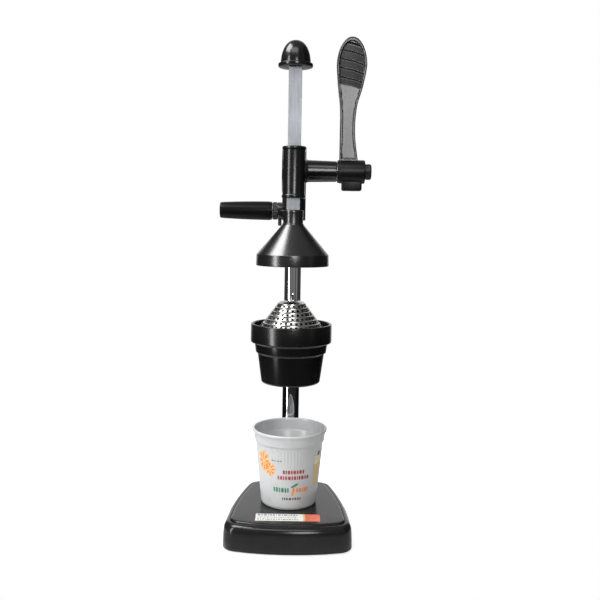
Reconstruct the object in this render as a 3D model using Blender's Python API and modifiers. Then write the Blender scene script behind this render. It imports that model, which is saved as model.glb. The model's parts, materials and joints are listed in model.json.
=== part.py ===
"""Hand citrus press: a lever turns a pinion, and the pinion drives a rack with a bell down on a fruit half.

The frame is a cast base, a steel pillar and a head casting with a side handle.  The bowl is clamped on the
pillar and holds a pierced strainer cone.  A collecting cup stands on the base.  The origin is on the floor
under the press axis, +X to the right, +Y to the rear, +Z up.  All sizes are in metres.
"""
import math

import bmesh
import bpy
from mathutils import Matrix, Vector

PARTS_NAME = "citrus_press"
CUTTERS_NAME = "citrus_press_tools"

# Fits
SEAT_GAP = 0.0003          # between pieces that rest on or are fixed to each other
RUNNING_GAP = 0.0001       # between a shaft and the bush it turns in
MERGE_DISTANCE = 0.00001
OVERLAP = 0.002            # how far joined or cut shapes reach into each other
EDGE_ROUNDING = 0.0012
FINE_EDGE = 0.0008
SMALL_EDGE = 0.0005

# Round shapes: steps round a full turn
BIG_STEPS = 32
SMALL_STEPS = 16
BORE_STEPS = 32
SHAFT_STEPS = 24
TINY_STEPS = 12

# Base and feet
BASE_HEIGHT = 0.030
BASE_FRONT = 0.073
BASE_BOW = 0.009           # how far the front edge bulges past the front corners
BASE_HALF_WIDTH_FRONT = 0.0668
BASE_HALF_WIDTH_REAR = 0.0470
BASE_CORNER_RADIUS = 0.016
BASE_WALL = 0.004
SHOULDER_WIDTH = 0.0055
SHOULDER_DROP = 0.004
SKIRT_EDGE = 0.0022
TOP_EDGE = 0.0015
FOOT_HEIGHT = 0.002
FOOT_RADIUS = 0.008
FOOT_STEM_RADIUS = 0.0030
FOOT_STEM_LENGTH = 0.008
FOOT_INSET_X = 0.019
FOOT_INSET_Y = 0.022
FOOT_BOSS_RADIUS = 0.009

# Pillar
PILLAR_RADIUS = 0.009525
PILLAR_CHAMFER = 0.001
PILLAR_STUD_RADIUS = 0.006
PILLAR_STUD_OUTSTAND = 0.003
PILLAR_BOSS_WALL = 0.0016
PILLAR_BOSS_RISE = 0.004
PILLAR_BOSS_TAPER = 0.0015
PILLAR_BOSS_MARGIN = 0.005575   # from the boss to the base's rear edge
UNDER_BOSS_DROP = 0.002
PILLAR_SEAT_DEPTH = 0.008
NUT_FLATS = 0.019
NUT_THICKNESS = 0.0065
WASHER_RADIUS = 0.0125
WASHER_THICKNESS = 0.0015

# Cup and printed plate
CUP_PILLAR_GAP = 0.004175
CUP_HEIGHT = 0.0815
CUP_BOTTOM_RADIUS = 0.0299
CUP_RIM_RADIUS = 0.0402
CUP_RIM_ROLL = 0.0016
CUP_WALL = 0.0012
CUP_FOOT_RECESS = 0.0015
LABEL_WIDTH = 0.068
LABEL_DEPTH = 0.020
LABEL_THICKNESS = 0.0004
LABEL_FRONT_INSET = 0.017

# Bowl and strainer
BOWL_RIM_HEIGHT = 0.2251
BOWL_DEPTH = 0.0634
BOWL_RIM_RADIUS = 0.0432
BOWL_PILLAR_GAP = 0.003275
BOWL_BAND_HEIGHT = 0.0200
BOWL_BAND_STEP = 0.0043
BOWL_SECOND_HEIGHT = 0.0115
BOWL_SECOND_TAPER = 0.0020
BOWL_SECOND_STEP = 0.0033
BOWL_BODY_TAPER = 0.0044
BOWL_WALL = 0.0030
BOWL_LEDGE_DEPTH = 0.0171
BOWL_LEDGE_WIDTH = 0.0042
DRAIN_RADIUS = 0.0060
DRAIN_FALL = 0.0022
COLLAR_WALL = 0.0045
COLLAR_HEIGHT = 0.030
COLLAR_RISE = 0.004        # above the underside of the bowl's second band
BOWL_ARM_HALF_WIDTH = 0.009
STRAINER_THICKNESS = 0.0008
STRAINER_BRIM_GAP = 0.0008
STRAINER_BELL_GAP = 0.0018
STRAINER_SKIRT_HEIGHT = 0.0112
STRAINER_HEIGHT = 0.0408
STRAINER_SLOPE_DEGREES = 53.13
STRAINER_ROWS = 6
STRAINER_ROW_PITCH = 0.0052
STRAINER_FIRST_ROW = 0.75  # in row pitches above the skirt
STRAINER_HOLE = 0.0025
STRAINER_HOLE_PITCH = 0.0066

# Rack, pinion and shaft
GEAR_MODULE = 0.002
PINION_TEETH = 16
PRESSURE_ANGLE = math.radians(20)
TOOTH_CLEARANCE = 0.0003   # taken from each gear's tooth at the pitch line
RACK_WIDTH = 0.014
RACK_LENGTH = 0.1487
RACK_PLAIN_END = 0.010
SHAFT_RADIUS = 0.006
SHAFT_HEIGHT = 0.3885
PINION_WIDTH = 0.014
KEY_WIDTH = 0.0035
KEY_HEIGHT = 0.0034
KEY_END_INSET = 0.002

# Head casting
GUIDE_WALL = 0.00545
GUIDE_ABOVE_SHAFT = 0.0240
GUIDE_BELOW_SHAFT = 0.0300
WEB_SIDE_INSET = 0.0032
WEB_TOP_INSET = 0.003
WEB_BOTTOM_INSET = 0.010
HOUSING_WALL = 0.0052
CAVITY_GAP = 0.0008
CAVITY_SIDE_GAP = 0.0015
COVER_THICKNESS = 0.0020
COVER_SCREW_RADIUS = 0.0015
COVER_SCREW_HEAD = 0.0026
COVER_SCREW_LENGTH = 0.008
COVER_SCREWS = 3
BARREL_END = 0.0458
BARREL_RADIUS = 0.0120
BARREL_TIP_RADIUS = 0.01115
BUSH_WALL = 0.0020
BUSH_LENGTH = 0.010
SOCKET_WALL = 0.0036
SOCKET_ABOVE_SHAFT = 0.0295
SOCKET_BELOW_SHAFT = 0.0535
SOCKET_CAP = 0.0033
SET_SCREW_RADIUS = 0.0030
SET_SCREW_OUTSTAND = 0.0025
SET_SCREW_SOCKET_DEPTH = 0.002
UPPER_SCREW_ABOVE_SHAFT = 0.012

# Bell and top knob
BELL_GUIDE_GAP = 0.0131    # between the bell's neck and the guide at rest
BELL_BOWL_GAP = 0.0014
BELL_HEIGHT = 0.0586
BELL_BAND_HEIGHT = 0.0119
BELL_NECK_RADIUS = 0.0111
BELL_NECK_HEIGHT = 0.0149
BELL_WALL = 0.0030
SPIGOT_RADIUS = 0.0060
SPIGOT_LENGTH = 0.0122
LOCK_SCREW_RADIUS = 0.0020
KNOB_FLANGE_RADIUS = 0.0184
KNOB_FLANGE_HEIGHT = 0.0036
KNOB_RADIUS = 0.0159
KNOB_HEIGHT = 0.0278
KNOB_STUD_RADIUS = 0.0040
KNOB_STUD_LENGTH = 0.013

# Lever
HUB_RADIUS = 0.0127
HUB_LENGTH = 0.0282
LUG_INSET = 0.0048
LUG_WIDTH = 0.0218
LUG_DROP = 0.0207
LUG_HALF_DEPTH = 0.0065
LEVER_LENGTH = 0.1432
LEVER_OFFSET = 0.0135      # from the hub's inner end to the middle of the lever's tip
LEVER_THICKNESS = 0.009
LEVER_RIM_WIDTH = 0.0026
LEVER_RECESS = 0.0009
HUB_WASHER_RADIUS = 0.0105
HUB_WASHER_THICKNESS = 0.0005
BOLT_FLATS = 0.0165
BOLT_HEAD_THICKNESS = 0.0075
BOLT_RADIUS = 0.0030
BOLT_SHANK_LENGTH = 0.013
BOLT_WASHER_THICKNESS = 0.0005
GRUB_RADIUS = 0.0025
GRUB_DEPTH = 0.001

# Side handle
HANDLE_BELOW_SHAFT = 0.043
GRIP_LENGTH = 0.059
GRIP_RADIUS_INNER = 0.01055
GRIP_RADIUS_OUTER = 0.00895
GRIP_BORE_DEPTH = 0.050
GRIP_END_ROUNDING = 0.002
HANDLE_STUD_RADIUS = 0.0040
HANDLE_BOSS_RADIUS = 0.0098
HANDLE_BOSS_RISE = 0.005075     # past the pillar socket
HANDLE_WASHER_THICKNESS = 0.0004
RING_NUT_LENGTH = 0.0047
RING_NUT_RADIUS = 0.0100
RING_NUT_RIBS = 14
RING_NUT_RIB_DEPTH = 0.0006
HANDLE_SCREW_OUTSET = 0.002275  # from the pillar socket to the screw's axis
HANDLE_SCREW_RADIUS = 0.0020
HANDLE_SCREW_DROP = 0.0168

# Worked out from the sizes above
PITCH_RADIUS = GEAR_MODULE * PINION_TEETH / 2
RACK_HALF = RACK_WIDTH / 2
PITCH_LINE_Y = RACK_HALF - GEAR_MODULE
SHAFT_Y = PITCH_LINE_Y + PITCH_RADIUS
PINION_TIP_RADIUS = PITCH_RADIUS + GEAR_MODULE
DEDENDUM = 1.25 * GEAR_MODULE
CAVITY_RADIUS = PINION_TIP_RADIUS + CAVITY_GAP
HOUSING_RADIUS = CAVITY_RADIUS + HOUSING_WALL
CHANNEL_HALF = RACK_HALF + SEAT_GAP
GUIDE_RADIUS = CHANNEL_HALF + GUIDE_WALL
GUIDE_BOTTOM = SHAFT_HEIGHT - GUIDE_BELOW_SHAFT
GUIDE_TOP = SHAFT_HEIGHT + GUIDE_ABOVE_SHAFT
PILLAR_BORE = PILLAR_RADIUS + SEAT_GAP
PILLAR_BACK = BOWL_RIM_RADIUS + BOWL_PILLAR_GAP + PILLAR_RADIUS
SOCKET_RADIUS = PILLAR_BORE + SOCKET_WALL
SOCKET_TOP = SHAFT_HEIGHT + SOCKET_ABOVE_SHAFT
SOCKET_BOTTOM = SHAFT_HEIGHT - SOCKET_BELOW_SHAFT
PILLAR_TOP = SOCKET_TOP - SOCKET_CAP
COLLAR_RADIUS = PILLAR_BORE + COLLAR_WALL
BOSS_RADIUS = PILLAR_BORE + PILLAR_BOSS_WALL
BASE_CORNER_FRONT = BASE_FRONT - BASE_BOW
BASE_REAR = PILLAR_BACK + BOSS_RADIUS + PILLAR_BOSS_MARGIN
CUP_BACK = PILLAR_BACK - PILLAR_RADIUS - CUP_PILLAR_GAP - CUP_RIM_RADIUS
LABEL_FRONT = BASE_FRONT - LABEL_FRONT_INSET
BELL_TOP = GUIDE_BOTTOM - BELL_GUIDE_GAP
BELL_RIM_HEIGHT = BELL_TOP - BELL_HEIGHT
RACK_BOTTOM = BELL_TOP + SEAT_GAP
RACK_TOP = RACK_BOTTOM + RACK_LENGTH
BOWL_BOTTOM = BOWL_RIM_HEIGHT - BOWL_DEPTH
BOWL_INNER_RADIUS = BOWL_RIM_RADIUS - BOWL_WALL
BOWL_SECOND_RADIUS = BOWL_RIM_RADIUS - BOWL_BAND_STEP
BOWL_BODY_RADIUS = BOWL_SECOND_RADIUS - BOWL_SECOND_STEP
BOWL_BOTTOM_RADIUS = BOWL_BODY_RADIUS - BOWL_BODY_TAPER
LEDGE_HEIGHT = BOWL_RIM_HEIGHT - BOWL_LEDGE_DEPTH
BELL_RIM_RADIUS = BOWL_INNER_RADIUS - BELL_BOWL_GAP
STRAINER_SKIRT_RADIUS = BELL_RIM_RADIUS - BELL_WALL - STRAINER_BELL_GAP
COVER_OUTER_X = -GUIDE_RADIUS
COVER_INNER_X = COVER_OUTER_X + COVER_THICKNESS
HOUSING_LEFT_X = COVER_INNER_X + SEAT_GAP
COVER_RADIUS = HOUSING_RADIUS - SEAT_GAP
COVER_SCREW_CIRCLE = (CAVITY_RADIUS + HOUSING_RADIUS) / 2
BUSH_RADIUS = SHAFT_RADIUS + RUNNING_GAP + BUSH_WALL
CAVITY_RIGHT_X = PINION_WIDTH / 2 + CAVITY_SIDE_GAP
HOLLOW_TOP = BASE_HEIGHT - SHOULDER_DROP - BASE_WALL
NUT_TOP = HOLLOW_TOP - UNDER_BOSS_DROP
BELL_CONE_RUN = BELL_RIM_RADIUS - BELL_NECK_RADIUS
BELL_CONE_RISE = BELL_HEIGHT - BELL_BAND_HEIGHT - BELL_NECK_HEIGHT
HUB_START = BARREL_END + RUNNING_GAP + HUB_WASHER_THICKNESS + SEAT_GAP
HUB_END = HUB_START + HUB_LENGTH
LEVER_X = HUB_START + LEVER_OFFSET
HANDLE_HEIGHT = SHAFT_HEIGHT - HANDLE_BELOW_SHAFT
HANDLE_BOSS_END = SOCKET_RADIUS + HANDLE_BOSS_RISE
HANDLE_SCREW_X = SOCKET_RADIUS + HANDLE_SCREW_OUTSET
RING_NUT_START = HANDLE_BOSS_END + SEAT_GAP
RING_NUT_END = RING_NUT_START + RING_NUT_LENGTH
HANDLE_WASHER_START = RING_NUT_END + SEAT_GAP
GRIP_START = HANDLE_WASHER_START + HANDLE_WASHER_THICKNESS + SEAT_GAP

X_AXIS = Vector((1, 0, 0))
Z_AXIS = Vector((0, 0, 1))


# ---------------------------------------------------------------- scene and materials

def clear_scene():
    for item in list(bpy.data.objects):
        bpy.data.objects.remove(item, do_unlink=True)


def make_collection(name):
    collection = bpy.data.collections.new(name)
    bpy.context.scene.collection.children.link(collection)
    return collection


def make_material(name, colour, roughness, metallic):
    material = bpy.data.materials.new(name)
    material.use_nodes = True
    shader = material.node_tree.nodes["Principled BSDF"]
    shader.inputs["Base Color"].default_value = (*colour, 1.0)
    shader.inputs["Roughness"].default_value = roughness
    shader.inputs["Metallic"].default_value = metallic
    return material


# ---------------------------------------------------------------- building blocks

def place(mesh, name, origin=(0, 0, 0)):
    """Make an object of a world-space mesh, with its own origin at the given point."""
    shift = Vector(origin)
    mesh.transform(Matrix.Translation(-shift))
    item = bpy.data.objects.new(name, mesh)
    item.location = shift
    PARTS.objects.link(item)
    return item


def finish(item, material, smooth_angle=35):
    item.data.materials.clear()
    item.data.materials.append(material)
    item.data.shade_smooth()
    item.data.set_sharp_from_angle(angle=math.radians(smooth_angle))
    return item


def as_tool(item):
    """Move an object to the tools: it only cuts or adds to another."""
    PARTS.objects.unlink(item)
    TOOLS.objects.link(item)
    item.hide_render = True
    item.display_type = "WIRE"
    return item


def boolean(target, tool, operation):
    modifier = target.modifiers.new(tool.name, "BOOLEAN")
    modifier.operation = operation
    modifier.solver = "EXACT"
    modifier.object = as_tool(tool)


def cut(target, *tools):
    for tool in tools:
        boolean(target, tool, "DIFFERENCE")


def join(target, *tools):
    for tool in tools:
        boolean(target, tool, "UNION")


def turned(name, profile, steps, centre=(0, 0, 0), axis=Z_AXIS, closed=False):
    """Turn a profile of (radius, height) points round an axis through centre.

    An open profile starts and ends on the axis.  It runs from the top, down its outer side.
    """
    mesh = bpy.data.meshes.new(name)
    points = [(radius, 0, height) for radius, height in profile]
    edges = [(index, index + 1) for index in range(len(points) - 1)]
    if closed:
        edges.append((len(points) - 1, 0))
    mesh.from_pydata(points, edges, [])
    item = place(mesh, name)
    item.location = centre
    item.rotation_euler = Z_AXIS.rotation_difference(Vector(axis)).to_euler()
    screw = item.modifiers.new("turn", "SCREW")
    screw.axis = "Z"
    screw.steps = steps
    screw.render_steps = steps
    screw.use_merge_vertices = True
    screw.merge_threshold = MERGE_DISTANCE
    return item


def rod(name, radius, start, end, steps=SMALL_STEPS, end_radius=None):
    """A round bar, or a cone, between two points."""
    start = Vector(start)
    end = Vector(end)
    along = end - start
    shape = bmesh.new()
    bmesh.ops.create_cone(shape, cap_ends=True, segments=steps, radius1=radius,
                          radius2=radius if end_radius is None else end_radius, depth=along.length)
    turn = Z_AXIS.rotation_difference(along).to_matrix().to_4x4()
    bmesh.ops.transform(shape, matrix=Matrix.Translation((start + end) / 2) @ turn, verts=shape.verts)
    mesh = bpy.data.meshes.new(name)
    shape.to_mesh(mesh)
    shape.free()
    return place(mesh, name)


def block(name, low, high):
    """A box between two corners."""
    low = Vector(low)
    high = Vector(high)
    shape = bmesh.new()
    bmesh.ops.create_cube(shape, size=1.0)
    bmesh.ops.scale(shape, vec=high - low, verts=shape.verts)
    bmesh.ops.translate(shape, vec=(low + high) / 2, verts=shape.verts)
    mesh = bpy.data.meshes.new(name)
    shape.to_mesh(mesh)
    shape.free()
    return place(mesh, name)


def mesh_from_curve(name, curve, matrix):
    """Turn a filled flat curve into a closed mesh object and drop the curve."""
    helper = bpy.data.objects.new(name, curve)
    helper.matrix_world = matrix
    PARTS.objects.link(helper)
    bpy.context.view_layer.update()
    evaluated = helper.evaluated_get(bpy.context.evaluated_depsgraph_get())
    mesh = bpy.data.meshes.new_from_object(evaluated)
    bpy.data.objects.remove(helper)
    shape = bmesh.new()
    shape.from_mesh(mesh)
    bmesh.ops.remove_doubles(shape, verts=shape.verts, dist=MERGE_DISTANCE)
    shape.to_mesh(mesh)
    shape.free()
    item = bpy.data.objects.new(name, mesh)
    item.matrix_world = matrix
    PARTS.objects.link(item)
    return item


def plate(name, points, thickness, matrix, smooth=False, corners=()):
    """A flat outline filled and extruded to both sides of its own XY plane.

    With smooth, a curve runs through the points, and the listed points stay corners.
    """
    curve = bpy.data.curves.new(name, "CURVE")
    curve.dimensions = "2D"
    curve.fill_mode = "BOTH"
    curve.extrude = thickness / 2
    if smooth:
        curve.resolution_u = 4
        spline = curve.splines.new("BEZIER")
        spline.bezier_points.add(len(points) - 1)
        for index, (knot, point) in enumerate(zip(spline.bezier_points, points)):
            knot.co = (*point, 0)
            kind = "VECTOR" if index in corners else "AUTO"
            knot.handle_left_type = kind
            knot.handle_right_type = kind
    else:
        spline = curve.splines.new("POLY")
        spline.points.add(len(points) - 1)
        for knot, point in zip(spline.points, points):
            knot.co = (*point, 0, 1)
    spline.use_cyclic_u = True
    return mesh_from_curve(name, curve, matrix)


def round_edges(item, width=EDGE_ROUNDING, segments=1, angle=40):
    bevel = item.modifiers.new("rounding", "BEVEL")
    bevel.width = width
    bevel.segments = segments
    bevel.limit_method = "ANGLE"
    bevel.angle_limit = math.radians(angle)
    bevel.harden_normals = False


def rounded_corners(corners, radii, steps=4):
    """Replace each corner of a counter-clockwise outline with an arc of the given radius."""
    outline = []
    for index, radius in enumerate(radii):
        corner = Vector(corners[index])
        before = (Vector(corners[index - 1]) - corner).normalized()
        after = (Vector(corners[(index + 1) % len(corners)]) - corner).normalized()
        if radius == 0:
            outline.append(tuple(corner))
            continue
        half_angle = before.angle(after) / 2
        middle = corner + (before + after).normalized() * radius / math.sin(half_angle)
        first = corner + before * radius / math.tan(half_angle) - middle
        last = corner + after * radius / math.tan(half_angle) - middle
        sweep = first.angle_signed(last)
        for step in range(steps + 1):
            turn = Matrix.Rotation(-sweep * step / steps, 2)
            outline.append(tuple(middle + turn @ first))
    return outline


def hexagon(name, flats, start, end):
    """A six-sided bar between two points, given across its flats."""
    return rod(name, flats / math.sqrt(3), start, end, steps=6)


def plan(height):
    """The matrix of an outline that lies flat at the given height."""
    return Matrix.Translation((0, 0, height))


def facing_side(x, y, z):
    """The matrix of an outline drawn in (Y, Z), as seen from the right."""
    axes = Matrix(((0, 0, 1), (1, 0, 0), (0, 1, 0))).to_4x4()
    return Matrix.Translation((x, y, z)) @ axes


def facing_front(x, y, z):
    """The matrix of an outline drawn in (X, Z), as seen from the front."""
    axes = Matrix(((1, 0, 0), (0, 0, -1), (0, 1, 0))).to_4x4()
    return Matrix.Translation((x, y, z)) @ axes


# ---------------------------------------------------------------- base

def base_outline(inset):
    """The base seen from above: a bowed front, sides that close to the rear and round corners."""
    front = -BASE_FRONT + inset
    corner_y = -BASE_CORNER_FRONT + inset
    rear = BASE_REAR - inset
    wide = BASE_HALF_WIDTH_FRONT - inset
    narrow = BASE_HALF_WIDTH_REAR - inset
    radius = BASE_CORNER_RADIUS - inset * 0.5
    bow = [(wide * share, front + (corner_y - front) * share ** 2) for share in (-0.6, -0.3, 0, 0.3, 0.6)]
    side = [(narrow + (wide - narrow) * (1 - share ** 2), front + (rear - front) * share)
            for share in (0.4, 0.6, 0.8)]
    right = [(wide, corner_y)] + side + [(narrow, rear)]
    right_radii = [radius] + [0] * len(side) + [radius]
    corners = bow + right + [(-x, y) for x, y in reversed(right)]
    return rounded_corners(corners, [0] * len(bow) + right_radii + right_radii[::-1])


def foot_places():
    front_x = BASE_HALF_WIDTH_FRONT - FOOT_INSET_X
    rear_x = BASE_HALF_WIDTH_REAR - FOOT_INSET_X
    front_y = -BASE_CORNER_FRONT + FOOT_INSET_Y
    rear_y = BASE_REAR - FOOT_INSET_Y
    return [(-front_x, front_y), (front_x, front_y), (rear_x, rear_y), (-rear_x, rear_y)]


def make_base():
    skirt_height = BASE_HEIGHT - SHOULDER_DROP - FOOT_HEIGHT
    base = plate("base_casting", base_outline(0), skirt_height, plan(FOOT_HEIGHT + skirt_height / 2))
    round_edges(base, width=SKIRT_EDGE)
    top_height = BASE_WALL + SHOULDER_DROP
    top = plate("base_top", base_outline(SHOULDER_WIDTH), top_height, plan(BASE_HEIGHT - top_height / 2))
    round_edges(top, width=TOP_EDGE)
    pillar_foot = (0, PILLAR_BACK, BASE_HEIGHT - OVERLAP)
    boss = rod("base_boss", BOSS_RADIUS, pillar_foot, (0, PILLAR_BACK, BASE_HEIGHT + PILLAR_BOSS_RISE),
               end_radius=BOSS_RADIUS - PILLAR_BOSS_TAPER)
    join(base, top, boss)
    hollow = plate("base_hollow", base_outline(BASE_WALL), HOLLOW_TOP, plan(HOLLOW_TOP / 2))
    cut(base, hollow)
    under_boss = rod("base_under_boss", WASHER_RADIUS, (0, PILLAR_BACK, NUT_TOP),
                     (0, PILLAR_BACK, HOLLOW_TOP + OVERLAP))
    join(base, under_boss)
    for index, (x, y) in enumerate(foot_places()):
        stud = rod(f"base_foot_boss_{index}", FOOT_BOSS_RADIUS, (x, y, FOOT_HEIGHT + SEAT_GAP),
                   (x, y, HOLLOW_TOP + OVERLAP))
        join(base, stud)
    seat = rod("pillar_seat", PILLAR_BORE, (0, PILLAR_BACK, BASE_HEIGHT + PILLAR_BOSS_RISE - PILLAR_SEAT_DEPTH),
               (0, PILLAR_BACK, BASE_HEIGHT + 2 * PILLAR_BOSS_RISE), steps=BIG_STEPS)
    hole = rod("pillar_hole", PILLAR_STUD_RADIUS + SEAT_GAP, (0, PILLAR_BACK, 0),
               (0, PILLAR_BACK, BASE_HEIGHT))
    label_low, label_high = label_corners()
    room = Vector((SEAT_GAP, SEAT_GAP, SEAT_GAP))
    label_seat = block("label_seat", label_low - room, label_high + room)
    cut(base, seat, hole, label_seat)
    for index, (x, y) in enumerate(foot_places()):
        socket = rod(f"foot_socket_{index}", FOOT_STEM_RADIUS + SEAT_GAP, (x, y, 0),
                     (x, y, FOOT_HEIGHT + FOOT_STEM_LENGTH + 2 * SEAT_GAP), steps=TINY_STEPS)
        cut(base, socket)
    finish(base, make_material("base_black", (0.045, 0.045, 0.048), 0.35, 0.0))


def make_feet():
    rubber = make_material("foot_rubber", (0.03, 0.03, 0.03), 0.8, 0.0)
    stem_top = FOOT_HEIGHT + FOOT_STEM_LENGTH
    for index, (x, y) in enumerate(foot_places()):
        profile = [(0, stem_top), (FOOT_STEM_RADIUS, stem_top), (FOOT_STEM_RADIUS, FOOT_HEIGHT),
                   (FOOT_RADIUS, FOOT_HEIGHT), (FOOT_RADIUS, SMALL_EDGE), (FOOT_RADIUS - SMALL_EDGE, 0), (0, 0)]
        foot = turned(f"rubber_foot_{index + 1}", profile, TINY_STEPS, centre=(x, y, 0))
        finish(foot, rubber)


def label_corners():
    """The printed plate lies in a shallow seat, flush with the base's top."""
    low = Vector((-LABEL_WIDTH / 2, -LABEL_FRONT, BASE_HEIGHT - LABEL_THICKNESS))
    high = Vector((LABEL_WIDTH / 2, -LABEL_FRONT + LABEL_DEPTH, BASE_HEIGHT))
    return low, high


def make_label():
    finish(block("base_label", *label_corners()), make_material("label_print", (0.8, 0.8, 0.78), 0.4, 0.0))


# ---------------------------------------------------------------- pillar

def make_pillar():
    shoulder = BASE_HEIGHT + PILLAR_BOSS_RISE - PILLAR_SEAT_DEPTH + SEAT_GAP
    stud_end = NUT_TOP - WASHER_THICKNESS - NUT_THICKNESS - PILLAR_STUD_OUTSTAND
    profile = [(0, PILLAR_TOP), (PILLAR_RADIUS - PILLAR_CHAMFER, PILLAR_TOP),
               (PILLAR_RADIUS, PILLAR_TOP - PILLAR_CHAMFER), (PILLAR_RADIUS, shoulder),
               (PILLAR_STUD_RADIUS, shoulder), (PILLAR_STUD_RADIUS, stud_end), (0, stud_end)]
    pillar = turned("pillar", profile, BIG_STEPS, centre=(0, PILLAR_BACK, 0))
    finish(pillar, make_material("pillar_chrome", (0.8, 0.8, 0.8), 0.08, 1.0))
    zinc = make_material("zinc_plate", (0.55, 0.56, 0.58), 0.35, 1.0)
    bore = PILLAR_STUD_RADIUS + SEAT_GAP
    washer_top = NUT_TOP - SEAT_GAP
    washer_bottom = washer_top - WASHER_THICKNESS
    profile = [(bore, washer_top), (WASHER_RADIUS, washer_top), (WASHER_RADIUS, washer_bottom),
               (bore, washer_bottom)]
    finish(turned("pillar_washer", profile, SMALL_STEPS, (0, PILLAR_BACK, 0), closed=True), zinc)
    nut_top = washer_bottom - SEAT_GAP
    nut_bottom = nut_top - NUT_THICKNESS
    nut = hexagon("pillar_nut", NUT_FLATS, (0, PILLAR_BACK, nut_bottom), (0, PILLAR_BACK, nut_top))
    cut(nut, rod("pillar_nut_bore", bore, (0, PILLAR_BACK, nut_bottom - OVERLAP),
                 (0, PILLAR_BACK, nut_top + OVERLAP)))
    finish(nut, zinc)


# ---------------------------------------------------------------- cup

def make_cup():
    foot = BASE_HEIGHT + SEAT_GAP
    rim = foot + CUP_HEIGHT
    lean = (CUP_RIM_RADIUS - CUP_RIM_ROLL - CUP_BOTTOM_RADIUS) / CUP_HEIGHT
    under_roll = 2 * CUP_RIM_ROLL
    outer_under_roll = CUP_BOTTOM_RADIUS + lean * (CUP_HEIGHT - under_roll)
    inner_top = CUP_RIM_RADIUS - CUP_RIM_ROLL - CUP_WALL
    inner_bottom = CUP_BOTTOM_RADIUS - CUP_WALL
    floor = foot + CUP_FOOT_RECESS + CUP_WALL
    roll = CUP_RIM_RADIUS - CUP_RIM_ROLL / 2
    ring = inner_bottom - CUP_WALL
    profile = [
        (0, floor), (inner_bottom, floor), (inner_top, rim - CUP_RIM_ROLL), (roll - CUP_RIM_ROLL / 2, rim),
        (roll, rim), (CUP_RIM_RADIUS, rim - CUP_RIM_ROLL / 2), (CUP_RIM_RADIUS, rim - under_roll),
        (outer_under_roll, rim - under_roll), (CUP_BOTTOM_RADIUS, foot + CUP_WALL),
        (CUP_BOTTOM_RADIUS - CUP_WALL / 2, foot), (ring, foot), (ring, foot + CUP_FOOT_RECESS),
        (0, foot + CUP_FOOT_RECESS)]
    cup = turned("juice_cup", profile, BIG_STEPS, centre=(0, CUP_BACK, 0))
    finish(cup, make_material("cup_white", (0.75, 0.75, 0.74), 0.3, 0.0))


# ---------------------------------------------------------------- bowl and strainer

def make_bowl(screw_steel):
    band_bottom = BOWL_RIM_HEIGHT - BOWL_BAND_HEIGHT
    second_bottom = band_bottom - BOWL_SECOND_HEIGHT
    profile = [
        (0, BOWL_RIM_HEIGHT), (BOWL_RIM_RADIUS - EDGE_ROUNDING, BOWL_RIM_HEIGHT),
        (BOWL_RIM_RADIUS, BOWL_RIM_HEIGHT - EDGE_ROUNDING), (BOWL_RIM_RADIUS, band_bottom + 2 * EDGE_ROUNDING),
        (BOWL_RIM_RADIUS - EDGE_ROUNDING, band_bottom), (BOWL_SECOND_RADIUS, band_bottom),
        (BOWL_SECOND_RADIUS - BOWL_SECOND_TAPER, second_bottom), (BOWL_BODY_RADIUS, second_bottom),
        (BOWL_BOTTOM_RADIUS + EDGE_ROUNDING / 2, BOWL_BOTTOM + EDGE_ROUNDING),
        (BOWL_BOTTOM_RADIUS - EDGE_ROUNDING, BOWL_BOTTOM), (0, BOWL_BOTTOM)]
    bowl = turned("juice_bowl", profile, BIG_STEPS)
    collar_top = second_bottom + COLLAR_RISE
    collar_bottom = collar_top - COLLAR_HEIGHT
    arm = block("bowl_arm", (-BOWL_ARM_HALF_WIDTH, BOWL_BOTTOM_RADIUS / 2, collar_bottom),
                (BOWL_ARM_HALF_WIDTH, PILLAR_BACK, collar_top))
    collar = rod("bowl_collar", COLLAR_RADIUS, (0, PILLAR_BACK, collar_bottom), (0, PILLAR_BACK, collar_top))
    join(bowl, arm, collar)
    inner_top = BOWL_INNER_RADIUS
    inner_ledge = BOWL_INNER_RADIUS - BOWL_LEDGE_WIDTH
    inner_bottom = BOWL_BOTTOM_RADIUS - BOWL_WALL
    floor = BOWL_BOTTOM + BOWL_WALL
    hollow = turned("bowl_hollow", [
        (0, BOWL_RIM_HEIGHT + OVERLAP), (inner_top, BOWL_RIM_HEIGHT + OVERLAP), (inner_top, LEDGE_HEIGHT),
        (inner_ledge, LEDGE_HEIGHT), (BOWL_BODY_RADIUS - BOWL_WALL, second_bottom - BOWL_WALL),
        (inner_bottom, floor + DRAIN_FALL), (DRAIN_RADIUS, floor), (DRAIN_RADIUS, BOWL_BOTTOM - OVERLAP),
        (0, BOWL_BOTTOM - OVERLAP)], BIG_STEPS)
    bore = rod("bowl_bore", PILLAR_BORE, (0, PILLAR_BACK, collar_bottom - OVERLAP),
               (0, PILLAR_BACK, collar_top + OVERLAP), steps=BIG_STEPS)
    screw_height = (collar_top + collar_bottom) / 2
    cut(bowl, hollow, bore, screw_hole("bowl_screw_hole", screw_height, COLLAR_RADIUS))
    finish(bowl, make_material("bowl_black", (0.02, 0.02, 0.021), 0.28, 0.0))
    finish(rear_screw("bowl_set_screw", screw_height, COLLAR_RADIUS), screw_steel)


def rear_screw(name, height, boss_radius):
    """A headless screw that presses on the pillar from behind and stands a little out of its boss."""
    start = PILLAR_BACK + PILLAR_RADIUS + SEAT_GAP
    end = PILLAR_BACK + boss_radius + SET_SCREW_OUTSTAND
    screw = rod(name, SET_SCREW_RADIUS, (0, start, height), (0, end, height))
    socket = hexagon(name + "_socket", SET_SCREW_RADIUS, (0, end - SET_SCREW_SOCKET_DEPTH, height),
                     (0, end + OVERLAP, height))
    cut(screw, socket)
    return screw


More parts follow.
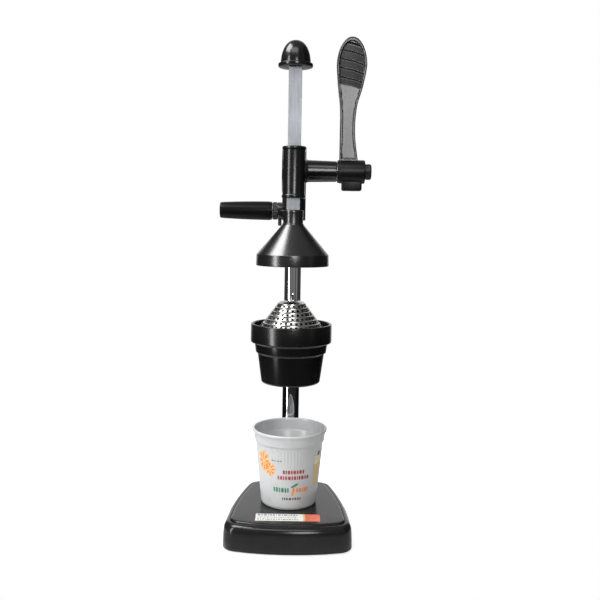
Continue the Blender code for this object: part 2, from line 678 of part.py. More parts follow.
def screw_hole(name, height, boss_radius):
    return rod(name, SET_SCREW_RADIUS + SEAT_GAP, (0, PILLAR_BACK, height),
               (0, PILLAR_BACK + boss_radius + 2 * SET_SCREW_OUTSTAND, height))


def strainer_rings():
    """The strainer's skin as rings from brim to crown: (radius, height, points, pierced above)."""
    brim = LEDGE_HEIGHT + SEAT_GAP + STRAINER_THICKNESS
    slope = math.radians(STRAINER_SLOPE_DEGREES)
    run = math.cos(slope)
    rise = math.sin(slope)
    skirt_top = brim + STRAINER_SKIRT_HEIGHT
    rings = [(BOWL_INNER_RADIUS - STRAINER_BRIM_GAP, brim, BIG_STEPS, False),
             (STRAINER_SKIRT_RADIUS, brim, BIG_STEPS, False),
             (STRAINER_SKIRT_RADIUS, skirt_top, BIG_STEPS, False)]
    for row in range(STRAINER_ROWS):
        along = STRAINER_ROW_PITCH * (row + STRAINER_FIRST_ROW)
        radius = STRAINER_SKIRT_RADIUS - along * run
        height = skirt_top + along * rise
        holes = round(2 * math.pi * radius / STRAINER_HOLE_PITCH)
        half = STRAINER_HOLE / 2
        rings.append((radius + half * run, height - half * rise, 2 * holes, True))
        rings.append((radius - half * run, height + half * rise, 2 * holes, False))
    crown = brim + STRAINER_HEIGHT
    last_radius, last_height, _, _ = rings[-1]
    for share in (0.35, 0.7, 0.92):
        angle = share * math.pi / 2
        rings.append((last_radius * math.cos(angle), last_height + (crown - last_height) * math.sin(angle),
                      SMALL_STEPS, False))
    return rings


def make_strainer():
    """A skin of rings: pierced rows leave every second face out, and the rings between are bridged."""
    shape = bmesh.new()
    loops = []
    rings = strainer_rings()
    for radius, height, count, _ in rings:
        loop = []
        for index in range(count):
            angle = 2 * math.pi * (index + 0.5) / count
            loop.append(shape.verts.new((radius * math.cos(angle), radius * math.sin(angle), height)))
        loops.append(loop)
    for loop in loops:
        for index, vertex in enumerate(loop):
            shape.edges.new((vertex, loop[(index + 1) % len(loop)]))
    for (_, _, count, pierced), lower, upper in zip(rings, loops, loops[1:]):
        if pierced:
            for index in range(0, count, 2):
                after = (index + 1) % count
                shape.faces.new((lower[index], lower[after], upper[after], upper[index]))
        else:
            edges = loop_edges(lower) + loop_edges(upper)
            bmesh.ops.bridge_loops(shape, edges=edges)
    shape.faces.new(loops[-1])
    bmesh.ops.recalc_face_normals(shape, faces=shape.faces)
    mesh = bpy.data.meshes.new("strainer_cone")
    shape.to_mesh(mesh)
    shape.free()
    strainer = place(mesh, "strainer_cone", origin=(0, 0, LEDGE_HEIGHT))
    solidify = strainer.modifiers.new("sheet", "SOLIDIFY")
    solidify.thickness = STRAINER_THICKNESS
    solidify.offset = -1
    solidify.use_even_offset = False
    finish(strainer, make_material("strainer_steel", (0.7, 0.7, 0.7), 0.2, 1.0))


def loop_edges(loop):
    found = []
    for index, vertex in enumerate(loop):
        after = loop[(index + 1) % len(loop)]
        for edge in vertex.link_edges:
            if edge.other_vert(vertex) == after:
                found.append(edge)
    return found


# ---------------------------------------------------------------- rack, bell and knob

def tooth_half_width(distance_from_pitch):
    """Half a rack tooth's thickness at a distance towards its tip."""
    quarter_pitch = math.pi * GEAR_MODULE / 4
    return quarter_pitch - TOOTH_CLEARANCE / 2 - distance_from_pitch * math.tan(PRESSURE_ANGLE)


def rack_outline():
    """The rack seen from its right side, in (Y, Z): plain front, teeth at the rear.

    A gap between two teeth is centred on the shaft's height, where a pinion tooth stands at rest.
    """
    pitch = math.pi * GEAR_MODULE
    root = PITCH_LINE_Y - DEDENDUM
    tip = RACK_HALF - SEAT_GAP
    low = RACK_BOTTOM + RACK_PLAIN_END
    high = RACK_TOP - RACK_PLAIN_END
    first = math.ceil((low - SHAFT_HEIGHT) / pitch)
    last = math.floor((high - SHAFT_HEIGHT) / pitch) - 1
    root_half = tooth_half_width(root - PITCH_LINE_Y)
    tip_half = tooth_half_width(tip - PITCH_LINE_Y)
    points = [(-RACK_HALF, RACK_TOP), (-RACK_HALF, RACK_BOTTOM), (tip, RACK_BOTTOM)]
    for index in range(first, last + 1):
        centre = SHAFT_HEIGHT + (index + 0.5) * pitch
        if index == first:
            points.append((tip, centre - pitch + tip_half))
            points.append((root, centre - pitch + root_half))
        points.append((root, centre - root_half))
        points.append((tip, centre - tip_half))
        points.append((tip, centre + tip_half))
        points.append((root, centre + root_half))
    after = SHAFT_HEIGHT + (last + 1.5) * pitch
    points.append((root, after - root_half))
    points.append((tip, after - tip_half))
    points.append((tip, RACK_TOP))
    return points


def make_rack():
    rack = plate("rack_bar", rack_outline(), RACK_WIDTH, facing_side(0, 0, 0))
    spigot = rod("rack_spigot", SPIGOT_RADIUS, (0, 0, RACK_BOTTOM - SPIGOT_LENGTH), (0, 0, RACK_BOTTOM + OVERLAP))
    stud = rod("rack_stud", KNOB_STUD_RADIUS, (0, 0, RACK_TOP - OVERLAP),
               (0, 0, RACK_TOP + KNOB_STUD_LENGTH))
    join(rack, spigot, stud)
    finish(rack, make_material("rack_plate", (0.5, 0.52, 0.54), 0.3, 1.0))


def make_bell(screw_steel):
    cone_foot = BELL_RIM_HEIGHT + BELL_BAND_HEIGHT
    neck_foot = cone_foot + BELL_CONE_RISE
    wall_drop = BELL_WALL * math.hypot(BELL_CONE_RUN, BELL_CONE_RISE) / BELL_CONE_RUN
    inner_rim = BELL_RIM_RADIUS - BELL_WALL
    slope = BELL_CONE_RISE / BELL_CONE_RUN
    inner_foot = cone_foot + BELL_WALL * slope - wall_drop
    crown_radius = BELL_NECK_RADIUS - BELL_WALL
    crown = inner_foot + (inner_rim - crown_radius) * slope
    bore = SPIGOT_RADIUS + SEAT_GAP
    bore_bottom = RACK_BOTTOM - SPIGOT_LENGTH - SEAT_GAP
    profile = [
        (0, bore_bottom), (bore, bore_bottom), (bore, BELL_TOP), (BELL_NECK_RADIUS - FINE_EDGE, BELL_TOP),
        (BELL_NECK_RADIUS, BELL_TOP - FINE_EDGE), (BELL_NECK_RADIUS, neck_foot), (BELL_RIM_RADIUS, cone_foot),
        (BELL_RIM_RADIUS, BELL_RIM_HEIGHT + FINE_EDGE), (BELL_RIM_RADIUS - FINE_EDGE, BELL_RIM_HEIGHT),
        (inner_rim, BELL_RIM_HEIGHT), (inner_rim, inner_foot), (crown_radius, crown), (0, crown)]
    bell = turned("press_bell", profile, BIG_STEPS)
    screw_height = BELL_TOP - SPIGOT_LENGTH / 2
    cut(bell, rod("bell_screw_hole", LOCK_SCREW_RADIUS + SEAT_GAP, (0, 0, screw_height),
                  (0, BELL_NECK_RADIUS + OVERLAP, screw_height), steps=TINY_STEPS))
    finish(bell, make_material("bell_black", (0.03, 0.03, 0.03), 0.3, 0.0))
    screw = rod("bell_lock_screw", LOCK_SCREW_RADIUS, (0, SPIGOT_RADIUS + SEAT_GAP, screw_height),
                (0, BELL_NECK_RADIUS - SEAT_GAP, screw_height), steps=TINY_STEPS)
    finish(screw, screw_steel)


def make_knob():
    foot = RACK_TOP + SEAT_GAP
    top = foot + KNOB_HEIGHT
    flange_top = foot + KNOB_FLANGE_HEIGHT
    bore = KNOB_STUD_RADIUS + SEAT_GAP
    bore_top = RACK_TOP + KNOB_STUD_LENGTH + SEAT_GAP
    profile = [(0, top)]
    for degrees in range(75, -1, -15):
        angle = math.radians(degrees)
        profile.append((KNOB_RADIUS * math.cos(angle) ** 0.85,
                        flange_top + (top - flange_top) * math.sin(angle)))
    profile += [(KNOB_FLANGE_RADIUS - FINE_EDGE, flange_top), (KNOB_FLANGE_RADIUS, flange_top - FINE_EDGE),
                (KNOB_FLANGE_RADIUS, foot + FINE_EDGE), (KNOB_FLANGE_RADIUS - FINE_EDGE, foot), (bore, foot),
                (bore, bore_top), (0, bore_top)]
    finish(turned("top_knob", profile, SHAFT_STEPS), make_material("knob_black", (0.01, 0.01, 0.011), 0.12, 0.0))


# ---------------------------------------------------------------- head casting and shaft

def guide_outline():
    """The guide seen from above: round in front of the rack, with flat sides back to the shaft."""
    front = []
    for step in range(BIG_STEPS // 2 + 1):
        angle = math.pi + 2 * math.pi * step / BIG_STEPS
        front.append((GUIDE_RADIUS * math.cos(angle), GUIDE_RADIUS * math.sin(angle)))
    return front + [(GUIDE_RADIUS, SHAFT_Y), (-GUIDE_RADIUS, SHAFT_Y)]


def make_head(screw_steel):
    head = plate("head_casting", guide_outline(), GUIDE_TOP - GUIDE_BOTTOM, plan((GUIDE_TOP + GUIDE_BOTTOM) / 2))
    housing = rod("head_housing", HOUSING_RADIUS, (HOUSING_LEFT_X, SHAFT_Y, SHAFT_HEIGHT),
                  (GUIDE_RADIUS, SHAFT_Y, SHAFT_HEIGHT), steps=BIG_STEPS)
    barrel = rod("head_barrel", BARREL_RADIUS, (GUIDE_RADIUS - OVERLAP, SHAFT_Y, SHAFT_HEIGHT),
                 (BARREL_END, SHAFT_Y, SHAFT_HEIGHT), steps=BIG_STEPS, end_radius=BARREL_TIP_RADIUS)
    web_half = GUIDE_RADIUS - WEB_SIDE_INSET
    web = block("head_web", (-web_half, SHAFT_Y, GUIDE_BOTTOM + WEB_BOTTOM_INSET),
                (web_half, PILLAR_BACK, GUIDE_TOP - WEB_TOP_INSET))
    socket = rod("head_socket", SOCKET_RADIUS, (0, PILLAR_BACK, SOCKET_BOTTOM),
                 (0, PILLAR_BACK, SOCKET_TOP), steps=BIG_STEPS)
    handle_boss = rod("head_handle_boss", HANDLE_BOSS_RADIUS, (-PILLAR_RADIUS, PILLAR_BACK, HANDLE_HEIGHT),
                      (-HANDLE_BOSS_END, PILLAR_BACK, HANDLE_HEIGHT))
    join(head, housing, barrel, web, socket, handle_boss)
    recess_end = GUIDE_RADIUS + OVERLAP
    cover_recess = rod("cover_recess", HOUSING_RADIUS, (-recess_end, SHAFT_Y, SHAFT_HEIGHT),
                       (HOUSING_LEFT_X, SHAFT_Y, SHAFT_HEIGHT), steps=BIG_STEPS)
    channel = block("rack_channel", (-CHANNEL_HALF, -CHANNEL_HALF, GUIDE_BOTTOM - OVERLAP),
                    (CHANNEL_HALF, CHANNEL_HALF, GUIDE_TOP + OVERLAP))
    cavity = rod("pinion_cavity", CAVITY_RADIUS, (HOUSING_LEFT_X - OVERLAP, SHAFT_Y, SHAFT_HEIGHT),
                 (CAVITY_RIGHT_X, SHAFT_Y, SHAFT_HEIGHT), steps=BIG_STEPS)
    shaft_bore = rod("barrel_bore", BUSH_RADIUS + SEAT_GAP, (0, SHAFT_Y, SHAFT_HEIGHT),
                     (BARREL_END + OVERLAP, SHAFT_Y, SHAFT_HEIGHT), steps=BORE_STEPS)
    pillar_bore = rod("socket_bore", PILLAR_BORE, (0, PILLAR_BACK, SOCKET_BOTTOM - OVERLAP),
                      (0, PILLAR_BACK, PILLAR_TOP + SEAT_GAP), steps=BIG_STEPS)
    stud_hole = rod("handle_stud_hole", HANDLE_STUD_RADIUS + SEAT_GAP,
                    (-PILLAR_RADIUS, PILLAR_BACK, HANDLE_HEIGHT),
                    (-HANDLE_BOSS_END - OVERLAP, PILLAR_BACK, HANDLE_HEIGHT))
    screw_bottom = HANDLE_HEIGHT - HANDLE_BOSS_RADIUS - OVERLAP
    tail_hole = rod("handle_screw_hole", HANDLE_SCREW_RADIUS + SEAT_GAP,
                    (-HANDLE_SCREW_X, PILLAR_BACK, screw_bottom), (-HANDLE_SCREW_X, PILLAR_BACK, HANDLE_HEIGHT),
                    steps=TINY_STEPS)
    cut(head, cover_recess, channel, cavity, shaft_bore, pillar_bore, stud_hole, tail_hole)
    for index, height in enumerate(head_screw_heights()):
        cut(head, screw_hole(f"head_screw_hole_{index}", height, SOCKET_RADIUS))
    for index, (y, z) in enumerate(cover_screw_places()):
        cut(head, rod(f"cover_screw_hole_{index}", COVER_SCREW_RADIUS + SEAT_GAP,
                      (HOUSING_LEFT_X - OVERLAP, y, z),
                      (COVER_OUTER_X + COVER_SCREW_LENGTH + SEAT_GAP, y, z), steps=TINY_STEPS))
    finish(head, make_material("head_black", (0.025, 0.025, 0.026), 0.25, 0.0))
    for name, height in zip(("head_set_screw_upper", "head_set_screw_lower"), head_screw_heights()):
        finish(rear_screw(name, height, SOCKET_RADIUS), screw_steel)


def head_screw_heights():
    return [SHAFT_HEIGHT + UPPER_SCREW_ABOVE_SHAFT, HANDLE_HEIGHT]


def cover_screw_places():
    places = []
    for index in range(COVER_SCREWS):
        angle = math.radians(-60 + 60 * index)
        places.append((SHAFT_Y + COVER_SCREW_CIRCLE * math.cos(angle),
                       SHAFT_HEIGHT + COVER_SCREW_CIRCLE * math.sin(angle)))
    return places


def make_cover(screw_steel):
    """The plate that closes the pinion's housing and carries the shaft's left end."""
    cover = rod("gear_cover", COVER_RADIUS, (COVER_OUTER_X, SHAFT_Y, SHAFT_HEIGHT),
                (COVER_INNER_X, SHAFT_Y, SHAFT_HEIGHT), steps=BIG_STEPS)
    bore = rod("cover_bore", SHAFT_RADIUS + RUNNING_GAP, (COVER_OUTER_X - OVERLAP, SHAFT_Y, SHAFT_HEIGHT),
               (COVER_INNER_X + OVERLAP, SHAFT_Y, SHAFT_HEIGHT), steps=BORE_STEPS)
    cut(cover, bore)
    head_depth = COVER_SCREW_HEAD - COVER_SCREW_RADIUS
    for index, (y, z) in enumerate(cover_screw_places()):
        seat = turned(f"cover_screw_seat_{index}", [
            (0, OVERLAP), (COVER_SCREW_HEAD + SEAT_GAP, OVERLAP), (COVER_SCREW_HEAD + SEAT_GAP, 0),
            (COVER_SCREW_RADIUS + SEAT_GAP, -head_depth),
            (COVER_SCREW_RADIUS + SEAT_GAP, -COVER_THICKNESS - OVERLAP), (0, -COVER_THICKNESS - OVERLAP)],
            TINY_STEPS, (COVER_OUTER_X, y, z), -X_AXIS)
        cut(cover, seat)
        screw = turned(f"cover_screw_{index + 1}", [
            (0, 0), (COVER_SCREW_HEAD, 0), (COVER_SCREW_RADIUS, -head_depth),
            (COVER_SCREW_RADIUS, -COVER_SCREW_LENGTH), (0, -COVER_SCREW_LENGTH)],
            TINY_STEPS, (COVER_OUTER_X, y, z), -X_AXIS)
        finish(screw, screw_steel)
    finish(cover, make_material("cover_black", (0.03, 0.03, 0.03), 0.4, 0.0))


def involute_point(base_radius, radius):
    """The angle that an involute has turned through when it reaches a radius."""
    roll = math.sqrt(max(radius ** 2 / base_radius ** 2 - 1, 0))
    return roll - math.atan(roll)


def pinion_outline():
    """The pinion's teeth in (Y, Z) round its own axis, with one tooth pointing at the rack."""
    base = PITCH_RADIUS * math.cos(PRESSURE_ANGLE)
    root = PITCH_RADIUS - DEDENDUM
    tip = PINION_TIP_RADIUS - SEAT_GAP
    half_tooth = (math.pi * GEAR_MODULE / 2 - TOOTH_CLEARANCE) / (2 * PITCH_RADIUS)
    at_pitch = involute_point(base, PITCH_RADIUS)
    flank = [(root, half_tooth + at_pitch)]
    steps = 2
    for step in range(steps + 1):
        radius = base + (tip - base) * step / steps
        flank.append((radius, half_tooth + at_pitch - involute_point(base, radius)))
    points = []
    for tooth in range(PINION_TEETH):
        centre = math.pi + 2 * math.pi * tooth / PINION_TEETH
        for radius, angle in flank:
            points.append((radius * math.cos(centre - angle), radius * math.sin(centre - angle)))
        for radius, angle in reversed(flank):
            points.append((radius * math.cos(centre + angle), radius * math.sin(centre + angle)))
    return points


def make_shaft(shaft_steel):
    centre_line = (SHAFT_Y, SHAFT_HEIGHT)
    left = COVER_OUTER_X + SEAT_GAP
    right = HUB_END - SEAT_GAP
    shaft = rod("pinion_shaft", SHAFT_RADIUS, (left, *centre_line), (right, *centre_line), steps=SHAFT_STEPS)
    key_half = PINION_WIDTH / 2 - KEY_END_INSET
    key_base = SHAFT_HEIGHT + SHAFT_RADIUS - KEY_HEIGHT / 2
    key_low = (-key_half, SHAFT_Y - KEY_WIDTH / 2, key_base)
    key_high = (key_half, SHAFT_Y + KEY_WIDTH / 2, key_base + KEY_HEIGHT)
    gap = Vector((SEAT_GAP, SEAT_GAP, SEAT_GAP))
    keyway = block("shaft_keyway", Vector(key_low) - gap, Vector(key_high) + gap)
    thread = rod("shaft_thread", BOLT_RADIUS + SEAT_GAP,
                 (HUB_END - BOLT_SHANK_LENGTH - SEAT_GAP, *centre_line), (HUB_END + OVERLAP, *centre_line),
                 steps=TINY_STEPS)
    cut(shaft, keyway, thread)
    finish(shaft, shaft_steel)
    pinion = plate("pinion_gear", pinion_outline(), PINION_WIDTH, facing_side(0, SHAFT_Y, SHAFT_HEIGHT))
    reach = PINION_WIDTH / 2 + OVERLAP
    bore = rod("pinion_bore", SHAFT_RADIUS + SEAT_GAP, (-reach, *centre_line), (reach, *centre_line))
    slot = block("pinion_keyway", (-reach, key_low[1] - SEAT_GAP, SHAFT_HEIGHT),
                 (reach, key_high[1] + SEAT_GAP, key_high[2] + SEAT_GAP))
    cut(pinion, bore, slot)
    finish(pinion, make_material("gear_steel", (0.42, 0.42, 0.43), 0.4, 1.0))
    finish(block("pinion_key", key_low, key_high), shaft_steel)


def make_bushes():
    bronze = make_material("bush_bronze", (0.6, 0.42, 0.2), 0.4, 1.0)
    inner = SHAFT_RADIUS + RUNNING_GAP
    starts = {"shaft_bush_inner": CAVITY_RIGHT_X + SEAT_GAP, "shaft_bush_outer": BARREL_END - BUSH_LENGTH}
    for name, start in starts.items():
        profile = [(inner, BUSH_LENGTH), (BUSH_RADIUS, BUSH_LENGTH), (BUSH_RADIUS, 0), (inner, 0)]
        bush = turned(name, profile, BORE_STEPS, (start, SHAFT_Y, SHAFT_HEIGHT), X_AXIS, closed=True)
        finish(bush, bronze)


# ---------------------------------------------------------------- lever

def lever_stations(inset):
    """The lever's sides in (X, height above the shaft), up the left side, over the tip and down the right.

    A station is (share of the lever's length, reach to the left of its middle, reach to the right).
    """
    foot = HUB_RADIUS * 0.6 if inset == 0 else HUB_RADIUS + inset
    stations = [(foot / LEVER_LENGTH, 0.0116, 0.0090), (0.280, 0.0116, 0.0048), (0.482, 0.0118, 0.0064),
                (0.628, 0.0144, 0.0122), (0.789, 0.0163, 0.0162), (0.922, 0.0124, 0.0125)]
    left = [(LEVER_X - reach + inset, share * LEVER_LENGTH) for share, reach, _ in stations]
    right = [(LEVER_X + reach - inset, share * LEVER_LENGTH) for share, _, reach in reversed(stations)]
    return left + [(LEVER_X, LEVER_LENGTH - inset)] + right


def make_lever(screw_steel):
    centre_line = (SHAFT_Y, SHAFT_HEIGHT)
    stations = lever_stations(0)
    lever = plate("lever_arm", stations, LEVER_THICKNESS, facing_front(0, SHAFT_Y, SHAFT_HEIGHT), smooth=True,
                  corners=(0, len(stations) - 1))
    round_edges(lever, width=FINE_EDGE, angle=60)
    inner = lever_stations(LEVER_RIM_WIDTH)
    recess = plate("lever_recess", inner, 2 * LEVER_RECESS,
                   facing_front(0, SHAFT_Y - LEVER_THICKNESS / 2, SHAFT_HEIGHT), smooth=True,
                   corners=(0, len(inner) - 1))
    cut(lever, recess)
    hub = rod("lever_hub", HUB_RADIUS, (HUB_START, *centre_line), (HUB_END, *centre_line), steps=BIG_STEPS)
    round_edges(hub, width=FINE_EDGE)
    lug_start = HUB_START + LUG_INSET
    lug_end = lug_start + LUG_WIDTH
    lug = block("lever_lug", (lug_start, SHAFT_Y - LUG_HALF_DEPTH, SHAFT_HEIGHT - LUG_DROP),
                (lug_end, SHAFT_Y + LUG_HALF_DEPTH, SHAFT_HEIGHT))
    round_edges(lug)
    join(lever, hub, lug)
    bore = rod("lever_bore", SHAFT_RADIUS + SEAT_GAP, (HUB_START - OVERLAP, *centre_line),
               (HUB_END + OVERLAP, *centre_line))
    middle = (lug_start + lug_end) / 2
    grub_hole = rod("grub_hole", GRUB_RADIUS + SEAT_GAP, (middle, SHAFT_Y, SHAFT_HEIGHT - LUG_DROP - OVERLAP),
                    (middle, *centre_line), steps=TINY_STEPS)
    cut(lever, bore, grub_hole)
    finish(lever, make_material("lever_black", (0.06, 0.06, 0.058), 0.35, 0.0))
    grub = rod("hub_grub_screw", GRUB_RADIUS, (middle, SHAFT_Y, SHAFT_HEIGHT - LUG_DROP + GRUB_DEPTH),
               (middle, SHAFT_Y, SHAFT_HEIGHT - SHAFT_RADIUS - SEAT_GAP), steps=TINY_STEPS)
    finish(grub, screw_steel)
    washer_start = BARREL_END + RUNNING_GAP
    washer_bore = SHAFT_RADIUS + SEAT_GAP
    profile = [(washer_bore, HUB_WASHER_THICKNESS), (HUB_WASHER_RADIUS, HUB_WASHER_THICKNESS),
               (HUB_WASHER_RADIUS, 0), (washer_bore, 0)]
    washer = turned("hub_washer", profile, SMALL_STEPS,
                    (washer_start, SHAFT_Y, SHAFT_HEIGHT), X_AXIS, closed=True)
    finish(washer, screw_steel)


def make_lever_bolt():
    bolt_black = make_material("bolt_black", (0.02, 0.02, 0.02), 0.3, 0.0)
    bolt_washer = make_material("bolt_washer_zinc", (0.5, 0.5, 0.5), 0.35, 1.0)
    centre_line = (SHAFT_Y, SHAFT_HEIGHT)
    washer_start = HUB_END + SEAT_GAP
    washer_end = washer_start + BOLT_WASHER_THICKNESS
    head_start = washer_end + SEAT_GAP
    bolt = hexagon("lever_bolt", BOLT_FLATS, (head_start, *centre_line),
                   (head_start + BOLT_HEAD_THICKNESS, *centre_line))
    round_edges(bolt, width=FINE_EDGE)
    shank = rod("lever_bolt_shank", BOLT_RADIUS, (HUB_END - BOLT_SHANK_LENGTH, *centre_line),
                (head_start + OVERLAP, *centre_line), steps=TINY_STEPS)
    join(bolt, shank)
    finish(bolt, bolt_black)
    bore = BOLT_RADIUS + SEAT_GAP
    outer = BOLT_FLATS / 2
    profile = [(bore, BOLT_WASHER_THICKNESS), (outer, BOLT_WASHER_THICKNESS), (outer, 0), (bore, 0)]
    washer = turned("bolt_washer", profile, SMALL_STEPS, (washer_start, SHAFT_Y, SHAFT_HEIGHT), X_AXIS,
                    closed=True)
    finish(washer, bolt_washer)


# ---------------------------------------------------------------- side handle

def make_handle(screw_steel):
    centre = (PILLAR_BACK, HANDLE_HEIGHT)
    bore = HANDLE_STUD_RADIUS + SEAT_GAP
    stud_end = GRIP_START + GRIP_BORE_DEPTH - SEAT_GAP
    stud = rod("handle_stud", HANDLE_STUD_RADIUS, (-PILLAR_RADIUS - 2 * SEAT_GAP, *centre), (-stud_end, *centre))
    finish(stud, screw_steel)
    rib_foot = RING_NUT_RADIUS - RING_NUT_RIB_DEPTH
    ribs = []
    for index in range(4 * RING_NUT_RIBS):
        angle = 2 * math.pi * index / (4 * RING_NUT_RIBS)
        reach = RING_NUT_RADIUS if index % 4 < 2 else rib_foot
        ribs.append((reach * math.cos(angle), reach * math.sin(angle)))
    nut = plate("handle_ring_nut", ribs, RING_NUT_LENGTH,
                facing_side(-(RING_NUT_START + RING_NUT_END) / 2, *centre))
    cut(nut, rod("ring_nut_bore", bore, (-RING_NUT_START + OVERLAP, *centre), (-RING_NUT_END - OVERLAP, *centre)))
    finish(nut, make_material("nut_black", (0.02, 0.02, 0.02), 0.35, 0.0))
    profile = [(bore, HANDLE_WASHER_THICKNESS), (rib_foot, HANDLE_WASHER_THICKNESS), (rib_foot, 0), (bore, 0)]
    washer = turned("handle_washer", profile, SMALL_STEPS, (-HANDLE_WASHER_START, *centre), -X_AXIS, closed=True)
    finish(washer, screw_steel)
    bulge = GRIP_RADIUS_INNER - (GRIP_RADIUS_INNER - GRIP_RADIUS_OUTER) * 0.30
    profile = [
        (0, GRIP_LENGTH), (GRIP_RADIUS_OUTER - GRIP_END_ROUNDING, GRIP_LENGTH),
        (GRIP_RADIUS_OUTER - GRIP_END_ROUNDING * 0.3, GRIP_LENGTH - GRIP_END_ROUNDING * 0.3),
        (GRIP_RADIUS_OUTER, GRIP_LENGTH - GRIP_END_ROUNDING), (bulge, GRIP_LENGTH * 0.6),
        (GRIP_RADIUS_INNER, GRIP_LENGTH * 0.15), (GRIP_RADIUS_INNER, SMALL_EDGE),
        (GRIP_RADIUS_INNER - SMALL_EDGE, 0), (bore, 0), (bore, GRIP_BORE_DEPTH), (0, GRIP_BORE_DEPTH)]
    grip = turned("handle_grip", profile, SHAFT_STEPS, (-GRIP_START, *centre), -X_AXIS)
    finish(grip, make_material("grip_black", (0.05, 0.05, 0.048), 0.4, 0.0))
    tail = rod("handle_set_screw", HANDLE_SCREW_RADIUS,
               (-HANDLE_SCREW_X, PILLAR_BACK, HANDLE_HEIGHT - HANDLE_SCREW_DROP),
               (-HANDLE_SCREW_X, PILLAR_BACK, HANDLE_HEIGHT - HANDLE_STUD_RADIUS - SEAT_GAP), steps=TINY_STEPS)
    round_edges(tail, width=SMALL_EDGE)
    finish(tail, make_material("tail_black", (0.02, 0.02, 0.02), 0.35, 0.0))


clear_scene()
PARTS = make_collection(PARTS_NAME)
TOOLS = make_collection(CUTTERS_NAME)
SCREW_STEEL = make_material("screw_zinc", (0.5, 0.5, 0.5), 0.35, 1.0)
SHAFT_STEEL = make_material("shaft_steel", (0.55, 0.55, 0.56), 0.25, 1.0)

make_base()
make_feet()
make_label()
make_pillar()
make_cup()
make_bowl(SCREW_STEEL)
make_strainer()
make_rack()
make_bell(SCREW_STEEL)
make_knob()
make_head(SCREW_STEEL)
make_cover(SCREW_STEEL)
make_shaft(SHAFT_STEEL)
make_bushes()
make_lever(SCREW_STEEL)
make_lever_bolt()
make_handle(SCREW_STEEL)
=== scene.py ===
"""Finishes a lever citrus press: modelled pieces and surfaces on the fixed frame, floor, light and camera.

Laid out as an add-on and run as a script. Lengths are in metres, +Z up, +X towards the lever, +Y to the rear.
"""

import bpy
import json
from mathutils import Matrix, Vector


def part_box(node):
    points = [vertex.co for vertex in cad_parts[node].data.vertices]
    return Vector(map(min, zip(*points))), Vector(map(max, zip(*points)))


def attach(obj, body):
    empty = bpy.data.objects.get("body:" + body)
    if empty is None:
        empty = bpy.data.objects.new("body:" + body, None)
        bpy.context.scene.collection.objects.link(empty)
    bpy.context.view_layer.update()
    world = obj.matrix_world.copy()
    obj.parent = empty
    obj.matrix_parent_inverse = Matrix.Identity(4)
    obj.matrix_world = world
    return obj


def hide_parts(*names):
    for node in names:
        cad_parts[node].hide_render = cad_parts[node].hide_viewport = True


bl_info = {
    "name": "Lever Citrus Press",
    "version": (1, 0, 0),
    "blender": (4, 5, 0),
    "location": "View3D > Sidebar > Citrus Press",
    "description": "Models and finishes the pieces of a lever citrus press on its fixed frame",
    "category": "Object",
}

import json
import math

import bmesh
import bpy
from bpy.props import FloatProperty, FloatVectorProperty, IntProperty, PointerProperty
from mathutils import Matrix, Vector

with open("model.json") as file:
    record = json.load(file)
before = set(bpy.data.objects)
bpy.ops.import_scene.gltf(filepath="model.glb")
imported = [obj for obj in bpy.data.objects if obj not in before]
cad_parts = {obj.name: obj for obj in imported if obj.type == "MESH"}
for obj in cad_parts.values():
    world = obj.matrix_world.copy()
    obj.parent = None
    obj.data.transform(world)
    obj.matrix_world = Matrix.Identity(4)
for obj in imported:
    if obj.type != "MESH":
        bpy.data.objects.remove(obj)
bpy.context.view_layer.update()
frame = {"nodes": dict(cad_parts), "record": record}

X_AXIS = Vector((1, 0, 0))
Z_AXIS = Vector((0, 0, 1))
ROUND = 96                 # steps round a large turned piece
SMALL_ROUND = 48           # round a bar or a bore
HOLE_ROUND = 32            # round a small screw hole
MERGE = 0.000002           # points closer than this are one
SKIN = 0.00006             # how far a print stands off what carries it
PAST = 0.002               # how far a joined or cut shape reaches past the face it meets
FIT = 0.0003               # gap between pieces that fit together


# ---------------------------------------------------------------- settings

class PressSizes(bpy.types.PropertyGroup):
    """Sizes of the fine shapes that the frame leaves to the finish."""
    cup_flutes: IntProperty(name="Cup flutes", description="Upright flutes moulded round the cup", default=64)
    flute_depth: FloatProperty(name="Flute depth", description="How deep a flute is moulded",
                               default=0.00042, unit="LENGTH")
    hole_pitch: FloatProperty(name="Hole pitch", description="Distance between strainer holes in a row",
                              default=0.0054, unit="LENGTH")
    groove_pitch: FloatProperty(name="Groove pitch",
                                description="Distance between the lever's finger grooves", default=0.0096,
                                unit="LENGTH")
    groove_depth: FloatProperty(name="Groove depth", description="Depth of a finger groove",
                                default=0.0014, unit="LENGTH")
    edge_rounding: FloatProperty(name="Edge rounding", description="Radius on the edges of cast pieces",
                                 default=0.0008, unit="LENGTH")


class PressColours(bpy.types.PropertyGroup):
    """Colours of the finishes, as linear values."""
    enamel: FloatVectorProperty(name="Enamel", description="Black stove enamel on the castings",
                                default=(0.0045, 0.0045, 0.005), size=3, subtype="COLOR")
    base: FloatVectorProperty(name="Base enamel", description="Worn enamel on the base",
                              default=(0.0085, 0.0083, 0.0085), size=3, subtype="COLOR")
    lever: FloatVectorProperty(name="Lever enamel", description="Thin satin enamel on the lever",
                               default=(0.0065, 0.0065, 0.0062), size=3, subtype="COLOR")
    plastic: FloatVectorProperty(name="Black plastic", description="Moulded grip and knob",
                                 default=(0.010, 0.010, 0.010), size=3, subtype="COLOR")
    cup: FloatVectorProperty(name="Cup plastic", description="White moulded plastic of the cup",
                             default=(0.515, 0.520, 0.525), size=3, subtype="COLOR")
    plating: FloatVectorProperty(name="Plating", description="Light grey plating on the rack",
                                 default=(0.25, 0.263, 0.284), size=3, subtype="COLOR")


